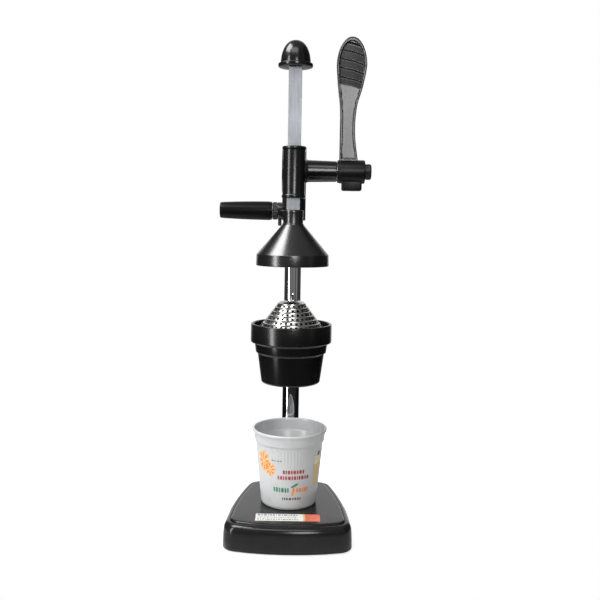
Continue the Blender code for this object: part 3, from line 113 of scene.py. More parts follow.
class PressStage(bpy.types.PropertyGroup):
    """Camera place and light levels."""
    distance: FloatProperty(name="Camera distance", description="From the lens to the press axis",
                            default=0.80, unit="LENGTH")
    eye_height: FloatProperty(name="Eye height", description="Height of the lens above the floor",
                              default=0.3319, unit="LENGTH")
    aside: FloatProperty(name="Camera offset", description="How far the lens stands to the right of the axis",
                         default=0.0083, unit="LENGTH")
    pitch: FloatProperty(name="Pitch", description="How far the camera looks down",
                         default=math.radians(3.92), subtype="ANGLE")
    roll: FloatProperty(name="Roll", description="How far the camera leans",
                        default=math.radians(1.0), subtype="ANGLE")
    lens: FloatProperty(name="Lens", description="Focal length in millimetres", default=45.11)
    shift: FloatProperty(name="Shift", description="Upward shift of the picture", default=-0.042)
    strip_power: FloatProperty(name="Strip light", description="Power of the upright strip, in watts",
                               default=9.5)
    front_power: FloatProperty(name="Front light", description="Power of the light at the front, in watts",
                               default=6.5)
    top_power: FloatProperty(name="Top light", description="Power of the light above the front, in watts",
                             default=4.2)
    overhead_power: FloatProperty(name="Overhead light", description="Power of the light overhead, in watts",
                                  default=12.0)
    fill: FloatProperty(name="Fill", description="Strength of the light from all round", default=0.24)


# ---------------------------------------------------------------- shapes

def fillet(points, steps=5):
    """Round the corners of a (radius, height) profile. A point may carry a third value, its rounding."""
    outline = []
    last = len(points) - 1
    for index, point in enumerate(points):
        corner = Vector(point[:2])
        rounding = point[2] if len(point) > 2 else 0
        if rounding == 0 or index in (0, last):
            outline.append(tuple(corner))
            continue
        before = Vector(points[index - 1][:2]) - corner
        after = Vector(points[index + 1][:2]) - corner
        half = before.angle(after) / 2
        reach = min(rounding / math.tan(half), before.length * 0.48, after.length * 0.48)
        radius = reach * math.tan(half)
        before.normalize()
        after.normalize()
        middle = corner + (before + after).normalized() * radius / math.sin(half)
        first = corner + before * reach - middle
        sweep = first.angle_signed(corner + after * reach - middle)
        for step in range(steps + 1):
            outline.append(tuple(middle + Matrix.Rotation(-sweep * step / steps, 2) @ first))
    return outline


def loft(rings, cap_start=True, cap_end=True):
    """Skin a list of rings of equal count into one bmesh."""
    shape = bmesh.new()
    loops = [[shape.verts.new(point) for point in ring] for ring in rings]
    count = len(loops[0])
    for lower, upper in zip(loops, loops[1:]):
        for index in range(count):
            after = (index + 1) % count
            shape.faces.new((lower[index], lower[after], upper[after], upper[index]))
    if cap_start:
        shape.faces.new(loops[0])
    if cap_end:
        shape.faces.new(loops[-1])
    bmesh.ops.remove_doubles(shape, verts=shape.verts, dist=MERGE)
    bmesh.ops.recalc_face_normals(shape, faces=shape.faces)
    return shape


def lathe(points, steps=ROUND, centre=(0, 0, 0), axis=Z_AXIS, closed=False, wobble=None):
    """Turn a (radius, height) profile round an axis. wobble(angle, height) adds to the radius."""
    outline = list(points)
    if closed:
        outline.append(outline[0])
    rings = []
    for radius, height in outline:
        ring = []
        for step in range(steps):
            angle = 2 * math.pi * step / steps
            reach = radius + (wobble(angle, height) if wobble else 0)
            ring.append(Vector((reach * math.cos(angle), reach * math.sin(angle), height)))
        rings.append(ring)
    shape = loft(rings, cap_start=False, cap_end=False)
    turn = Z_AXIS.rotation_difference(Vector(axis)).to_matrix().to_4x4()
    bmesh.ops.transform(shape, matrix=Matrix.Translation(centre) @ turn, verts=shape.verts)
    return shape


def fillet_loop(points):
    """Round every corner of a closed profile."""
    return fillet([points[-1], *points, points[0]], 4)[1:-1]


def box_shape(low, high):
    """A plain box between two corners."""
    shape = bmesh.new()
    bmesh.ops.create_cube(shape, size=1.0)
    bmesh.ops.scale(shape, vec=Vector(high) - Vector(low), verts=shape.verts)
    bmesh.ops.translate(shape, vec=(Vector(low) + Vector(high)) / 2, verts=shape.verts)
    return shape


def rod_shape(radius, start, end, steps=SMALL_ROUND, edge=0.0):
    """A round bar between two points with rounded ends."""
    start = Vector(start)
    along = Vector(end) - start
    profile = [(0, along.length), (radius, along.length, edge), (radius, 0, edge), (0, 0)]
    return lathe(fillet(profile, 3) if edge else [point[:2] for point in profile], steps, start, along)


def to_object(name, shape):
    """Put a finished shape into the scene."""
    mesh = bpy.data.meshes.new(name)
    shape.to_mesh(mesh)
    shape.free()
    item = bpy.data.objects.new(name, mesh)
    bpy.context.scene.collection.objects.link(item)
    return item


def apply_modifiers(item):
    """Turn a piece's modifiers into its own mesh."""
    bpy.context.view_layer.update()
    evaluated = item.evaluated_get(bpy.context.evaluated_depsgraph_get())
    mesh = bpy.data.meshes.new_from_object(evaluated)
    item.modifiers.clear()
    old = item.data
    item.data = mesh
    bpy.data.meshes.remove(old)


def combine(item, shapes, operation):
    """Join shapes to a piece, or cut them from it, one after another."""
    for shape in shapes:
        tool = to_object(f"{item.name}_tool", shape)
        modifier = item.modifiers.new("combine", "BOOLEAN")
        modifier.operation = operation
        modifier.solver = "EXACT"
        modifier.object = tool
        apply_modifiers(item)
        mesh = tool.data
        bpy.data.objects.remove(tool)
        bpy.data.meshes.remove(mesh)


def bevel(item, width, angle=35, segments=2):
    """Round the edges that turn by more than an angle."""
    modifier = item.modifiers.new("edges", "BEVEL")
    modifier.width = width
    modifier.segments = segments
    modifier.limit_method = "ANGLE"
    modifier.angle_limit = math.radians(angle)
    modifier.use_clamp_overlap = True
    apply_modifiers(item)


def rounded_box(low, high, rounding, segments):
    """A box with rounded edges, as a shape that others can be joined to."""
    block = to_object("rounded_box", box_shape(low, high))
    bevel(block, rounding, segments=segments)
    shape = bmesh.new()
    shape.from_mesh(block.data)
    bpy.data.objects.remove(block)
    return shape


def settle(item, material, body, nodes=(), sharp=38):
    """Give a piece its finish, its body and the nodes it stands for."""
    item.data.materials.clear()
    item.data.materials.append(material)
    item.data.shade_smooth()
    item.data.set_sharp_from_angle(angle=math.radians(sharp))
    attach(item, body)
    if nodes:
        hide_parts(*nodes)


def dress(node, material, rounding=0.0):
    """Finish a node of the frame that keeps its own shape."""
    item = frame["nodes"][node]
    item.data.materials.clear()
    item.data.materials.append(material)
    if rounding:
        weld = item.modifiers.new("weld", "WELD")
        weld.merge_threshold = MERGE
        edges = item.modifiers.new("edges", "BEVEL")
        edges.width = rounding
        edges.segments = 2
        edges.limit_method = "ANGLE"
        edges.angle_limit = math.radians(40)


def body_of(node):
    for body, members in frame["record"]["behaviour"]["bodies"].items():
        if node in members:
            return body
    raise RuntimeError(f"no body holds {node}")


def stand_in(name, piece, material, node, sharp=38):
    """Put a modelled piece, given as an object or a shape, in the place of a node."""
    item = piece if isinstance(piece, bpy.types.Object) else to_object(name, piece)
    settle(item, material, body_of(node), (node,), sharp)


# ---------------------------------------------------------------- finishes

class Nodes:
    """Short names for the nodes of one tree."""

    def __init__(self, tree):
        self.tree = tree

    def add(self, kind, *inputs, **values):
        """A node with its settings, its first inputs linked or set in order."""
        node = self.tree.nodes.new(kind)
        for key, value in values.items():
            setattr(node, key, value)
        for socket, source in zip(node.inputs, inputs):
            self.put(source, socket)
        return node

    def put(self, source, socket):
        """Link an output to a socket, or give the socket a fixed value."""
        if isinstance(source, bpy.types.NodeSocket):
            self.tree.links.new(source, socket)
        else:
            socket.default_value = source

    def math(self, operation, *inputs):
        return self.add("ShaderNodeMath", *inputs, operation=operation).outputs[0]

    def ramp(self, factor, stops):
        """A colour ramp; each stop is (place, value) or (place, (r, g, b))."""
        node = self.add("ShaderNodeValToRGB", factor)
        elements = node.color_ramp.elements
        while len(elements) < len(stops):
            elements.new(0.5)
        for element, (place, value) in zip(elements, stops):
            element.position = place
            rgb = value if isinstance(value, (tuple, list)) else (value, value, value)
            element.color = (*rgb, 1.0)
        return node.outputs["Color"]

    def mix(self, factor, first, second):
        """The first colour where the factor is 0, the second where it is 1."""
        node = self.add("ShaderNodeMix", data_type="RGBA")
        for source, index in ((factor, 0), (first, 6), (second, 7)):
            self.put((*source, 1.0) if isinstance(source, tuple) else source, node.inputs[index])
        return node.outputs[2]


class Surface(Nodes):
    """The nodes of one material and what its shader is fed."""

    def __init__(self, name):
        self.material = bpy.data.materials.new(name)
        self.material.use_nodes = True
        super().__init__(self.material.node_tree)
        self.shader = self.tree.nodes["Principled BSDF"]
        self.place = self.add("ShaderNodeTexCoord").outputs["Object"]

    def feed(self, name, source):
        """Give an input of the shader a node's output or a fixed value."""
        self.put(source, self.shader.inputs[name])

    def noise(self, scale, detail=3.0, stretch=(1, 1, 1), roughness=0.5):
        """Noise over the piece's own coordinates, drawn out along the axes with a small stretch."""
        mapping = self.add("ShaderNodeMapping", self.place)
        mapping.inputs["Scale"].default_value = stretch
        node = self.add("ShaderNodeTexNoise", mapping.outputs["Vector"])
        for name, value in (("Scale", scale), ("Detail", detail), ("Roughness", roughness)):
            node.inputs[name].default_value = value
        return node.outputs["Fac"]

    def bumps(self, *layers):
        """Stack bump layers, each (height output, strength, distance)."""
        normal = None
        for height, strength, distance in layers:
            node = self.add("ShaderNodeBump")
            for name, source in (("Strength", strength), ("Distance", distance), ("Height", height)):
                self.put(source, node.inputs[name])
            if normal:
                self.put(normal, node.inputs["Normal"])
            normal = node.outputs["Normal"]
        self.feed("Normal", normal)

    def wear_and_highlight_edges(self, low, high):
        """Where edges stand proud, from 0 to 1: the mask that lightens edges, partly as wear and partly as a
        painted highlight.
        """
        point = self.add("ShaderNodeNewGeometry").outputs["Pointiness"]
        return self.ramp(point, [(low, 0.0), (high, 1.0)])


def shade(colour, factor):
    """A colour made lighter or darker."""
    return tuple(min(channel * factor, 1.0) for channel in colour)


def enamel(name, colour, rough=(0.16, 0.30), peel=0.10, edge=2.4, specular=0.5, speck=2.2, polished=None):
    """Black stove enamel: faint orange peel, soft smears, a little dust and thin bright edges, partly wear
    and partly a painted highlight.

    Faces that look up are rubbed most, so they may be given a higher polish.
    """
    n = Surface(name)
    tone = n.ramp(n.noise(38.0, 4.0), [(0.30, shade(colour, 0.75)), (0.72, shade(colour, 1.35))])
    specks = n.ramp(n.noise(2600.0, 2.0), [(0.66, 0.0), (0.74, 1.0)])
    dusty = n.mix(specks, tone, shade(colour, speck))
    # edges lighter by the edge factor: partly wear, partly a painted highlight along them
    n.feed("Base Color", n.mix(n.wear_and_highlight_edges(0.515, 0.60), dusty, shade(colour, edge)))
    smear = n.noise(22.0, 5.0, (1, 1, 0.35), 0.6)
    n.feed("Roughness", n.ramp(smear, [(0.30, rough[0]), (0.70, rough[1])]))
    n.feed("Specular IOR Level", specular)
    if polished:
        normal = n.add("ShaderNodeNewGeometry").outputs["Normal"]
        upward = n.add("ShaderNodeSeparateXYZ", normal).outputs[2]
        n.feed("Specular IOR Level", n.ramp(upward, [(0.10, specular), (0.40, polished)]))
    n.bumps((n.noise(620.0, 2.0), peel, 0.00025), (n.noise(90.0, 2.0), peel * 0.6, 0.0006))
    return n.material


def plastic(name, colour, rough=(0.22, 0.34), grain=0.10, specular=0.5):
    """Moulded plastic: a fine spark-eroded grain, faint flow clouds, rubbed patches and lighter edges, partly
    wear and partly a painted highlight.
    """
    n = Surface(name)
    flow = n.noise(26.0, 3.0, (0.4, 1, 1))
    tone = n.ramp(flow, [(0.32, shade(colour, 0.80)), (0.70, shade(colour, 1.30))])
    # edges lighter: partly wear, partly a painted highlight along them
    n.feed("Base Color", n.mix(n.wear_and_highlight_edges(0.52, 0.60), tone, shade(colour, 2.2)))
    n.feed("Roughness", n.ramp(n.noise(45.0, 4.0), [(0.30, rough[0]), (0.72, rough[1])]))
    n.feed("Specular IOR Level", specular)
    n.bumps((n.noise(1500.0, 2.0), grain, 0.0001))
    return n.material


def plated(name, colour, rough=(0.20, 0.34), metallic=1.0, streak=(1, 1, 0.03), depth=0.06,
           spread=(0.85, 1.1), scale=900.0):
    """Plated or drawn metal: fine streaks one way, small stains and a slightly uneven polish."""
    n = Surface(name)
    lines = n.noise(scale, 3.0, streak)
    stain = n.noise(60.0, 5.0, (1, 1, 0.5), 0.6)
    tone = n.ramp(lines, [(0.30, shade(colour, spread[0])), (0.70, shade(colour, spread[1]))])
    n.feed("Base Color", n.mix(n.ramp(stain, [(0.52, 0.0), (0.72, 0.5)]), tone, shade(colour, 0.72)))
    n.feed("Roughness", n.ramp(n.noise(75.0, 4.0, (1, 1, 0.4)), [(0.30, rough[0]), (0.70, rough[1])]))
    n.feed("Metallic", metallic)
    n.bumps((lines, depth, 0.0002))
    return n.material


def cup_plastic(name, colour):
    """Thin white plastic that lets a little light into it."""
    n = Surface(name)
    n.feed("Base Color", n.ramp(n.noise(30.0, 3.0),
                                [(0.30, shade(colour, 0.96)), (0.72, shade(colour, 1.04))]))
    n.feed("Roughness", n.ramp(n.noise(55.0, 4.0), [(0.30, 0.24), (0.72, 0.36)]))
    n.feed("Subsurface Weight", 0.12)
    n.feed("Subsurface Radius", (0.004, 0.004, 0.004))
    n.feed("Subsurface Scale", 1.0)
    n.bumps((n.noise(140.0, 2.0, (1, 1, 0.3)), 0.05, 0.0004))
    return n.material


def print_ink(name, first, second, scale=260.0):
    """Printed ink: two close tones in a fine screen, with small gaps of tone."""
    n = Surface(name)
    n.feed("Base Color", n.ramp(n.noise(scale, 3.0, roughness=0.6), [(0.36, first), (0.64, second)]))
    n.feed("Roughness", n.ramp(n.noise(700.0, 2.0), [(0.3, 0.32), (0.7, 0.46)]))
    n.bumps((n.noise(1500.0, 2.0), 0.06, 0.00005))
    return n.material


def rubber(name):
    """Matt moulded rubber, slightly greyed in patches."""
    n = Surface(name)
    n.feed("Base Color", n.ramp(n.noise(180.0, 4.0), [(0.3, 0.016), (0.75, (0.040, 0.039, 0.037))]))
    n.feed("Roughness", n.ramp(n.noise(90.0, 3.0), [(0.3, 0.62), (0.7, 0.82)]))
    n.bumps((n.noise(1200.0, 3.0), 0.25, 0.0002))
    return n.material


# ---------------------------------------------------------------- the press's own sizes

def span(node):
    """The low corner, high corner and middle of a node of the frame."""
    low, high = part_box(node)
    return low, high, (low + high) / 2


BASE_LOW, BASE_HIGH, _ = span("base_casting")
CUP_LOW, CUP_HIGH, CUP_MID = span("juice_cup")
BOWL_LOW, BOWL_HIGH, _ = span("juice_bowl")
SHAFT_MID = span("pinion_gear")[2]
PILLAR_LOW, PILLAR_HIGH, PILLAR_MID = span("pillar")
PILLAR_RADIUS = (PILLAR_HIGH.x - PILLAR_LOW.x) / 2
BELL_LOW, BELL_HIGH, _ = span("press_bell")
KNOB_LOW, KNOB_HIGH, _ = span("top_knob")
HEAD_LOW, HEAD_HIGH, _ = span("head_casting")
LEVER_LOW, LEVER_HIGH, _ = span("lever_arm")
GRIP_LOW, GRIP_HIGH, GRIP_MID = span("handle_grip")
STRAINER_LOW, STRAINER_HIGH, _ = span("strainer_cone")
LABEL_LOW, LABEL_HIGH, _ = span("base_label")
PILLAR_BORE = PILLAR_RADIUS + FIT
STUD_BORE = 0.0043           # in the grip, the ring nut, the boss and the knob
SET_SCREW_HOLE = 0.0033


def pillar_rod(radius, low, high, steps=SMALL_ROUND, edge=0.0):
    """A round bar on the pillar's axis."""
    return rod_shape(radius, (0, PILLAR_MID.y, low), (0, PILLAR_MID.y, high), steps, edge)


def shaft_rod(radius, left, right, steps=SMALL_ROUND):
    """A round bar on the shaft's axis."""
    return rod_shape(radius, (left, SHAFT_MID.y, SHAFT_MID.z), (right, SHAFT_MID.y, SHAFT_MID.z), steps)


def screw_hole(node):
    """A hole from the pillar's axis to the rear for a set screw."""
    _, high, middle = span(node)
    return rod_shape(SET_SCREW_HOLE, (0, PILLAR_MID.y, middle.z), (0, high.y + PAST, middle.z), HOLE_ROUND)


# ---------------------------------------------------------------- base

BASE_TOP = 0.030             # height of the flat top
BASE_FRONT_CORNER = 0.064    # how far in front of the axis the front corners stand
BASE_HALF_FRONT = 0.0668
BASE_HALF_REAR = 0.0470
BASE_CORNER = 0.016          # radius of the corners seen from above
BASE_WALL = 0.004
HOLLOW_TOP = 0.022           # height of the hollow's ceiling


def base_outline(inset):
    """The base from above at an inset: a bowed front, sides closing to the rear, round corners."""
    front = BASE_LOW.y + inset
    corner_y = -BASE_FRONT_CORNER + inset
    rear = BASE_HIGH.y - inset
    wide = BASE_HALF_FRONT - inset
    narrow = BASE_HALF_REAR - inset
    radius = max(BASE_CORNER - inset * 0.5, 0.002)
    half = [(wide * share / 10, front + (corner_y - front) * (share / 10) ** 2) for share in range(0, 7)]
    half.append((wide, corner_y, radius))
    for step in range(8, 18):
        share = step / 20
        half.append((narrow + (wide - narrow) * (1 - share ** 2), front + (rear - front) * share))
    half.append((narrow, rear, radius))
    half.append((0, rear))
    outline = fillet(half, 10)
    return outline + [(-x, y) for x, y in reversed(outline[1:-1])]


def make_base(finish):
    """A cast shell: a side wall, a rounded shoulder with a bead, a groove and the flat top."""
    section = [(BASE_WALL, HOLLOW_TOP), (BASE_WALL, BASE_LOW.z), (0.0006, BASE_LOW.z),
               (0.0, BASE_LOW.z + 0.0008), (0.0002, 0.0120), (0.0007, 0.0215), (0.0011, 0.0235),
               (0.0018, 0.0252), (0.0029, 0.0267), (0.0043, 0.0278), (0.0056, 0.0283), (0.0063, 0.0283),
               (0.0067, 0.0279), (0.0070, 0.0277), (0.0073, 0.0280), (0.0077, 0.0289), (0.0084, 0.0296),
               (0.0094, 0.0299), (0.0106, BASE_TOP), (0.0300, BASE_TOP)]
    rings = [[Vector((x, y, height)) for x, y in base_outline(inset)] for inset, height in section]
    base = to_object("base_shell", loft(rings))
    boss = BASE_HIGH.z - BASE_TOP
    foot = (0, PILLAR_MID.y, 0)
    collar = lathe(fillet([(0, BASE_HIGH.z), (0.0112, BASE_HIGH.z, 0.0008),
                           (0.0114, BASE_TOP + 0.0012, 0.0006), (0.0114, BASE_TOP - boss / 2),
                           (0, BASE_TOP - boss / 2)]), SMALL_ROUND, foot)
    joined = [collar, pillar_rod(0.0125, HOLLOW_TOP - PAST, HOLLOW_TOP + PAST)]
    sockets = []
    for index in range(1, 5):
        _, high, (x, y, _) = span(f"rubber_foot_{index}")
        joined.append(rod_shape(0.009, (x, y, 0.0023), (x, y, HOLLOW_TOP + PAST)))
        sockets.append(rod_shape(0.0033, (x, y, 0.0), (x, y, high.z + FIT), 24))
    combine(base, joined, "UNION")
    seat = pillar_rod(PILLAR_BORE, 0.026, 0.040, ROUND)
    hole = pillar_rod(0.0063, 0.0, BASE_TOP)
    room = Vector((FIT, FIT, FIT))
    seat_x, seat_y, _ = LABEL_HIGH + room
    label_seat = box_shape(LABEL_LOW - room, (seat_x, seat_y, BASE_TOP + PAST))
    combine(base, [seat, hole, label_seat, *sockets], "DIFFERENCE")
    stand_in("base_shell", base, finish, "base_casting", sharp=50)


def make_label(inks):
    """A plain printed panel: a dark border, a white field with rows of small marks, and a coloured end."""
    low, high = LABEL_LOW, LABEL_HIGH
    item = to_object("label_border", box_shape(low, (high.x, high.y, high.z - SKIN)))
    bevel(item, 0.00012)
    stand_in("label_border", item, inks["border"], "base_label")
    top = high.z
    rim = 0.0009
    split = low.x + (high.x - low.x) * 0.765
    stripe = 0.0022

    def field(name, x0, x1, ink):
        patch = to_object(name, box_shape((x0, low.y + rim, top - SKIN), (x1, high.y - rim, top - SKIN / 3)))
        settle(patch, inks[ink], "frame")

    field("label_field", low.x + rim, split - stripe, "white")
    field("label_stripe", split - stripe, split, "amber")
    field("label_end", split, high.x - rim, "red")
    dashes = bmesh.new()
    greens = bmesh.new()
    unit = 0.0011
    # place as a share of the panel's depth, height, what gathers the marks, and their lengths in units
    rows = [(0.80, 0.0056, dashes, (2.4, 1.2, 3.2, 0.8, 1.6, 2.0, 1.0)),
            (0.52, 0.0030, dashes, (1.0, 1.8, 0.7)), (0.24, 0.0044, greens, (1.8, 1.0, 1.6, 0.9, 2.2, 1.2))]
    for share, height, holder, lengths in rows:
        x = low.x + rim + 0.002
        y = low.y + (high.y - low.y) * share
        index = 0
        while x < split - stripe - 0.006:
            length = lengths[index % len(lengths)] * unit
            bmesh.ops.create_cube(holder, size=1.0,
                                  matrix=Matrix.Translation((x + length / 2, y, top - SKIN / 2))
                                  @ Matrix.Diagonal((length, height * 0.5, SKIN, 1)))
            x += length + unit
            index += 1
    settle(to_object("label_marks_grey", dashes), inks["grey"], "frame")
    settle(to_object("label_marks_green", greens), inks["green"], "frame")


# ---------------------------------------------------------------- cup

# height above the foot and outer radius, up to the rim
CUP_STATIONS = [(0.0, 0.0299), (0.0610, 0.0356), (0.0670, 0.0362), (0.0688, 0.0376), (0.0775, 0.0386)]


def cup_radius(height):
    """The cup's outer radius at a height above its foot, below the rim."""
    for (low, first), (high, second) in zip(CUP_STATIONS, CUP_STATIONS[1:]):
        if height <= high:
            return first + (second - first) * (height - low) / (high - low)
    return CUP_STATIONS[-1][1]


def make_cup(finish, sizes):
    """A tapered cup: recessed foot, flutes under a step, and a rolled rim."""
    foot = CUP_LOW.z
    rim = CUP_HIGH.z
    outer = CUP_HIGH.x
    wall = 0.0011
    profile = [(0, foot + 0.0015), (0.0270, foot + 0.0015, 0.0008), (0.0276, foot, 0.0005),
               (0.0289, foot, 0.0012), (0.0301, foot + 0.0022, 0.0030)]
    for step in range(1, 12):
        height = 0.0590 * step / 11
        profile.append((cup_radius(height), foot + height))
    for step in range(1, 5):
        height = 0.0590 + 0.0080 * step / 4
        profile.append((cup_radius(height), foot + height))
    profile += [(cup_radius(0.0688), foot + 0.0688, 0.0006), (0.0386, rim - 0.0034, 0.0007),
                (outer - 0.0002, rim - 0.0032, 0.0008), (outer, rim - 0.0004, 0.0012),
                (outer - 0.0022, rim, 0.0010), (0.0386 - wall, rim - 0.0024, 0.0010),
                (cup_radius(0.0688) - wall, foot + 0.0688, 0.0004),
                (cup_radius(0.0670) - wall, foot + 0.0670), (0.0301 - wall, foot + 0.0055, 0.0020),
                (0.0262, foot + 0.0027, 0.0012), (0, foot + 0.0027)]
    flutes = sizes.cup_flutes
    depth = sizes.flute_depth

    def wobble(angle, height):
        share = (height - foot - 0.050) / 0.0170
        if not 0 < share < 1:
            return 0
        fade = math.sin(math.pi * min(share * 1.15, 1.0)) ** 0.7
        return -depth * fade * (0.5 + 0.5 * math.cos(flutes * angle))

    steps = flutes * 6
    shape = lathe(fillet(profile, 4), steps, (0, CUP_MID.y, 0), wobble=wobble)
    stand_in("cup_shell", shape, finish, "juice_cup", sharp=60)


def on_cup(angle, height, lift=SKIN):
    """A point on the cup's wall; angle 0 faces the front and grows to the right."""
    radius = cup_radius(height) + lift
    return Vector((radius * math.sin(angle), CUP_MID.y - radius * math.cos(angle), CUP_LOW.z + height))


def cup_patch(outline, lift=SKIN, cuts=3):
    """A thin print that lies on the cup, from an outline of (angle, height) points round its own middle."""
    corners = [Vector(point) for point in outline]
    outline = []
    for first, second in zip(corners, corners[1:] + corners[:1]):
        parts = max(math.ceil(abs(second.x - first.x) / 0.05), math.ceil(abs(second.y - first.y) / 0.006), 1)
        outline += [first.lerp(second, part / parts) for part in range(parts)]
    shape = bmesh.new()
    middle = Vector((sum(p.x for p in outline) / len(outline), sum(p.y for p in outline) / len(outline)))
    rings = []
    for step in range(cuts + 1):
        share = 1 - step / (cuts + 1)
        rings.append([middle + (Vector(point) - middle) * share for point in outline])
    face = None
    for level in (lift, lift - 2 * SKIN):
        loops = [[shape.verts.new(on_cup(p.x, p.y, level)) for p in ring] for ring in rings]
        centre = shape.verts.new(on_cup(middle.x, middle.y, level))
        for lower, upper in zip(loops, loops[1:]):
            for index in range(len(outline)):
                after = (index + 1) % len(outline)
                shape.faces.new((lower[index], lower[after], upper[after], upper[index]))
        for index in range(len(outline)):
            shape.faces.new((loops[-1][index], loops[-1][(index + 1) % len(outline)], centre))
        if face:
            for index in range(len(outline)):
                after = (index + 1) % len(outline)
                shape.faces.new((face[index], face[after], loops[0][after], loops[0][index]))
        face = loops[0]
    bmesh.ops.recalc_face_normals(shape, faces=shape.faces)
    return shape


def oval(centre, half_width, half_height, start=0.0, sweep=2 * math.pi, steps=28, turn=0.0):
    """Points of an oval, or of a wedge of one, on the cup: widths in metres, centre as (angle, height)."""
    points = []
    whole = abs(sweep - 2 * math.pi) < 0.001
    count = steps if whole else steps + 1
    for step in range(count):
        angle = start + sweep * step / steps
        x = half_width * math.cos(angle)
        z = half_height * math.sin(angle)
        points.append((x * math.cos(turn) - z * math.sin(turn), x * math.sin(turn) + z * math.cos(turn)))
    if not whole:
        points.append((0, 0))
    radius = cup_radius(centre[1])
    return [(centre[0] + x / radius, centre[1] + z) for x, z in points]


def bar(centre, length, height):
    """A short bar with round ends on the cup; one that is taller than long stands upright."""
    radius = cup_radius(centre[1])
    thin = min(length, height)
    along = (length - thin) / 2
    up = (height - thin) / 2
    points = []
    for quarter in range(4):
        side_x = 1 if quarter in (0, 3) else -1
        side_y = 1 if quarter in (0, 1) else -1
        for step in range(4):
            angle = math.radians(90 * quarter + 30 * step)
            points.append((side_x * along + thin / 2 * math.cos(angle),
                           side_y * up + thin / 2 * math.sin(angle)))
    return [(centre[0] + x / radius, centre[1] + z) for x, z in points]


def merge(shapes):
    """Gather several small prints into one shape."""
    whole = bmesh.new()
    for shape in shapes:
        mesh = bpy.data.meshes.new("gather")
        shape.to_mesh(mesh)
        shape.free()
        whole.from_mesh(mesh)
        bpy.data.meshes.remove(mesh)
    return whole


def mark_row(middle, height, lengths, thickness, gap):
    """A row of bars of given lengths centred on an angle."""
    radius = cup_radius(height)
    total = sum(lengths) + gap * (len(lengths) - 1)
    x = -total / 2
    shapes = []
    for length in lengths:
        shapes.append(cup_patch(bar((middle + (x + length / 2) / radius, height), length, thickness), cuts=1))
        x += length + gap
    return shapes


def make_cup_print(inks):
    """A plain fruit print: two cut oranges, a tumbler, rows of bars, a leaf and a drop."""
    body = body_of("juice_cup")

    def put(name, shapes, ink):
        settle(to_object(name, merge(shapes)), inks[ink], body, sharp=60)

    slices = [((-0.86, 0.0508), 0.0082, 0.0108, 1.2), ((-0.62, 0.0436), 0.0066, 0.0074, 0.4)]
    put("print_rind", [cup_patch(oval(c, w, h)) for c, w, h, _ in slices], "rind")
    put("print_pith", [cup_patch(oval(c, w * 0.90, h * 0.90), SKIN * 1.5) for c, w, h, _ in slices], "pith")
    wedges = []
    for centre, wide, tall, turn in slices:
        for index in range(8):
            start = turn + 2 * math.pi * index / 8 + 0.07
            wedge = oval(centre, wide * 0.82, tall * 0.82, start, 2 * math.pi / 8 - 0.14, steps=6)
            middle = Vector(centre)
            out = (Vector(wedge[3]) - middle) * 0.06
            wedges.append(cup_patch([tuple(Vector(p) + out) for p in wedge], SKIN * 2, cuts=1))
    put("print_flesh", wedges, "flesh")
    # ink, middle as an angle, height, thickness, gap, and the bars' lengths in tenths of a millimetre
    rows = [
        ("red", 0.16, 0.0420, 0.0044, 0.0008, (22, 14, 26, 16, 30, 18, 28, 20)),
        ("red", 0.16, 0.0357, 0.0044, 0.0008, (18, 26, 14, 22, 30, 16, 24, 12, 20, 28, 18, 26)),
        ("green", -0.25, 0.0222, 0.0054, 0.0009, (18, 26, 16, 28, 18, 16)),
        ("flesh", 0.47, 0.0222, 0.0048, 0.0009, (18, 24, 16, 22, 18)),
        ("grey", 0.11, 0.0127, 0.0030, 0.0008, (12, 18, 16, 30, 16, 22, 18, 14)),
        ("grey", -0.38, 0.0536, 0.0009, 0.0008, (26, 16, 30, 18)),
    ]
    for ink in ("red", "green", "flesh", "grey"):
        shapes = []
        for row_ink, middle, height, thickness, gap, lengths in rows:
            if row_ink == ink:
                shapes += mark_row(middle, height, [length / 10000 for length in lengths], thickness, gap)
        if ink == "green":
            shapes.append(cup_patch(oval((0.20, 0.0272), 0.0044, 0.0013, turn=0.5), cuts=1))
        if ink == "flesh":
            shapes.append(cup_patch(oval((0.16, 0.0206), 0.0013, 0.0048, turn=-0.2), cuts=1))
        put("print_bars_" + ink, shapes, ink)
    left, right = 0.90, 1.30

    def tumbler(taper, low, high):
        return [(left + taper, low), (right - taper, low), (right, high), (left, high)]

    put("print_glass", [cup_patch(tumbler(0.03, 0.0236, 0.0540), cuts=5)], "amber")
    put("print_foam", [cup_patch(tumbler(0.012, 0.0470, 0.0560), SKIN * 1.5, cuts=5)], "pith")
    straw = [(1.02, 0.0560), (1.14, 0.0560), (1.20, 0.0600), (1.06, 0.0600)]
    put("print_straw", [cup_patch(straw, cuts=2)], "grey")


# ---------------------------------------------------------------- bowl and strainer

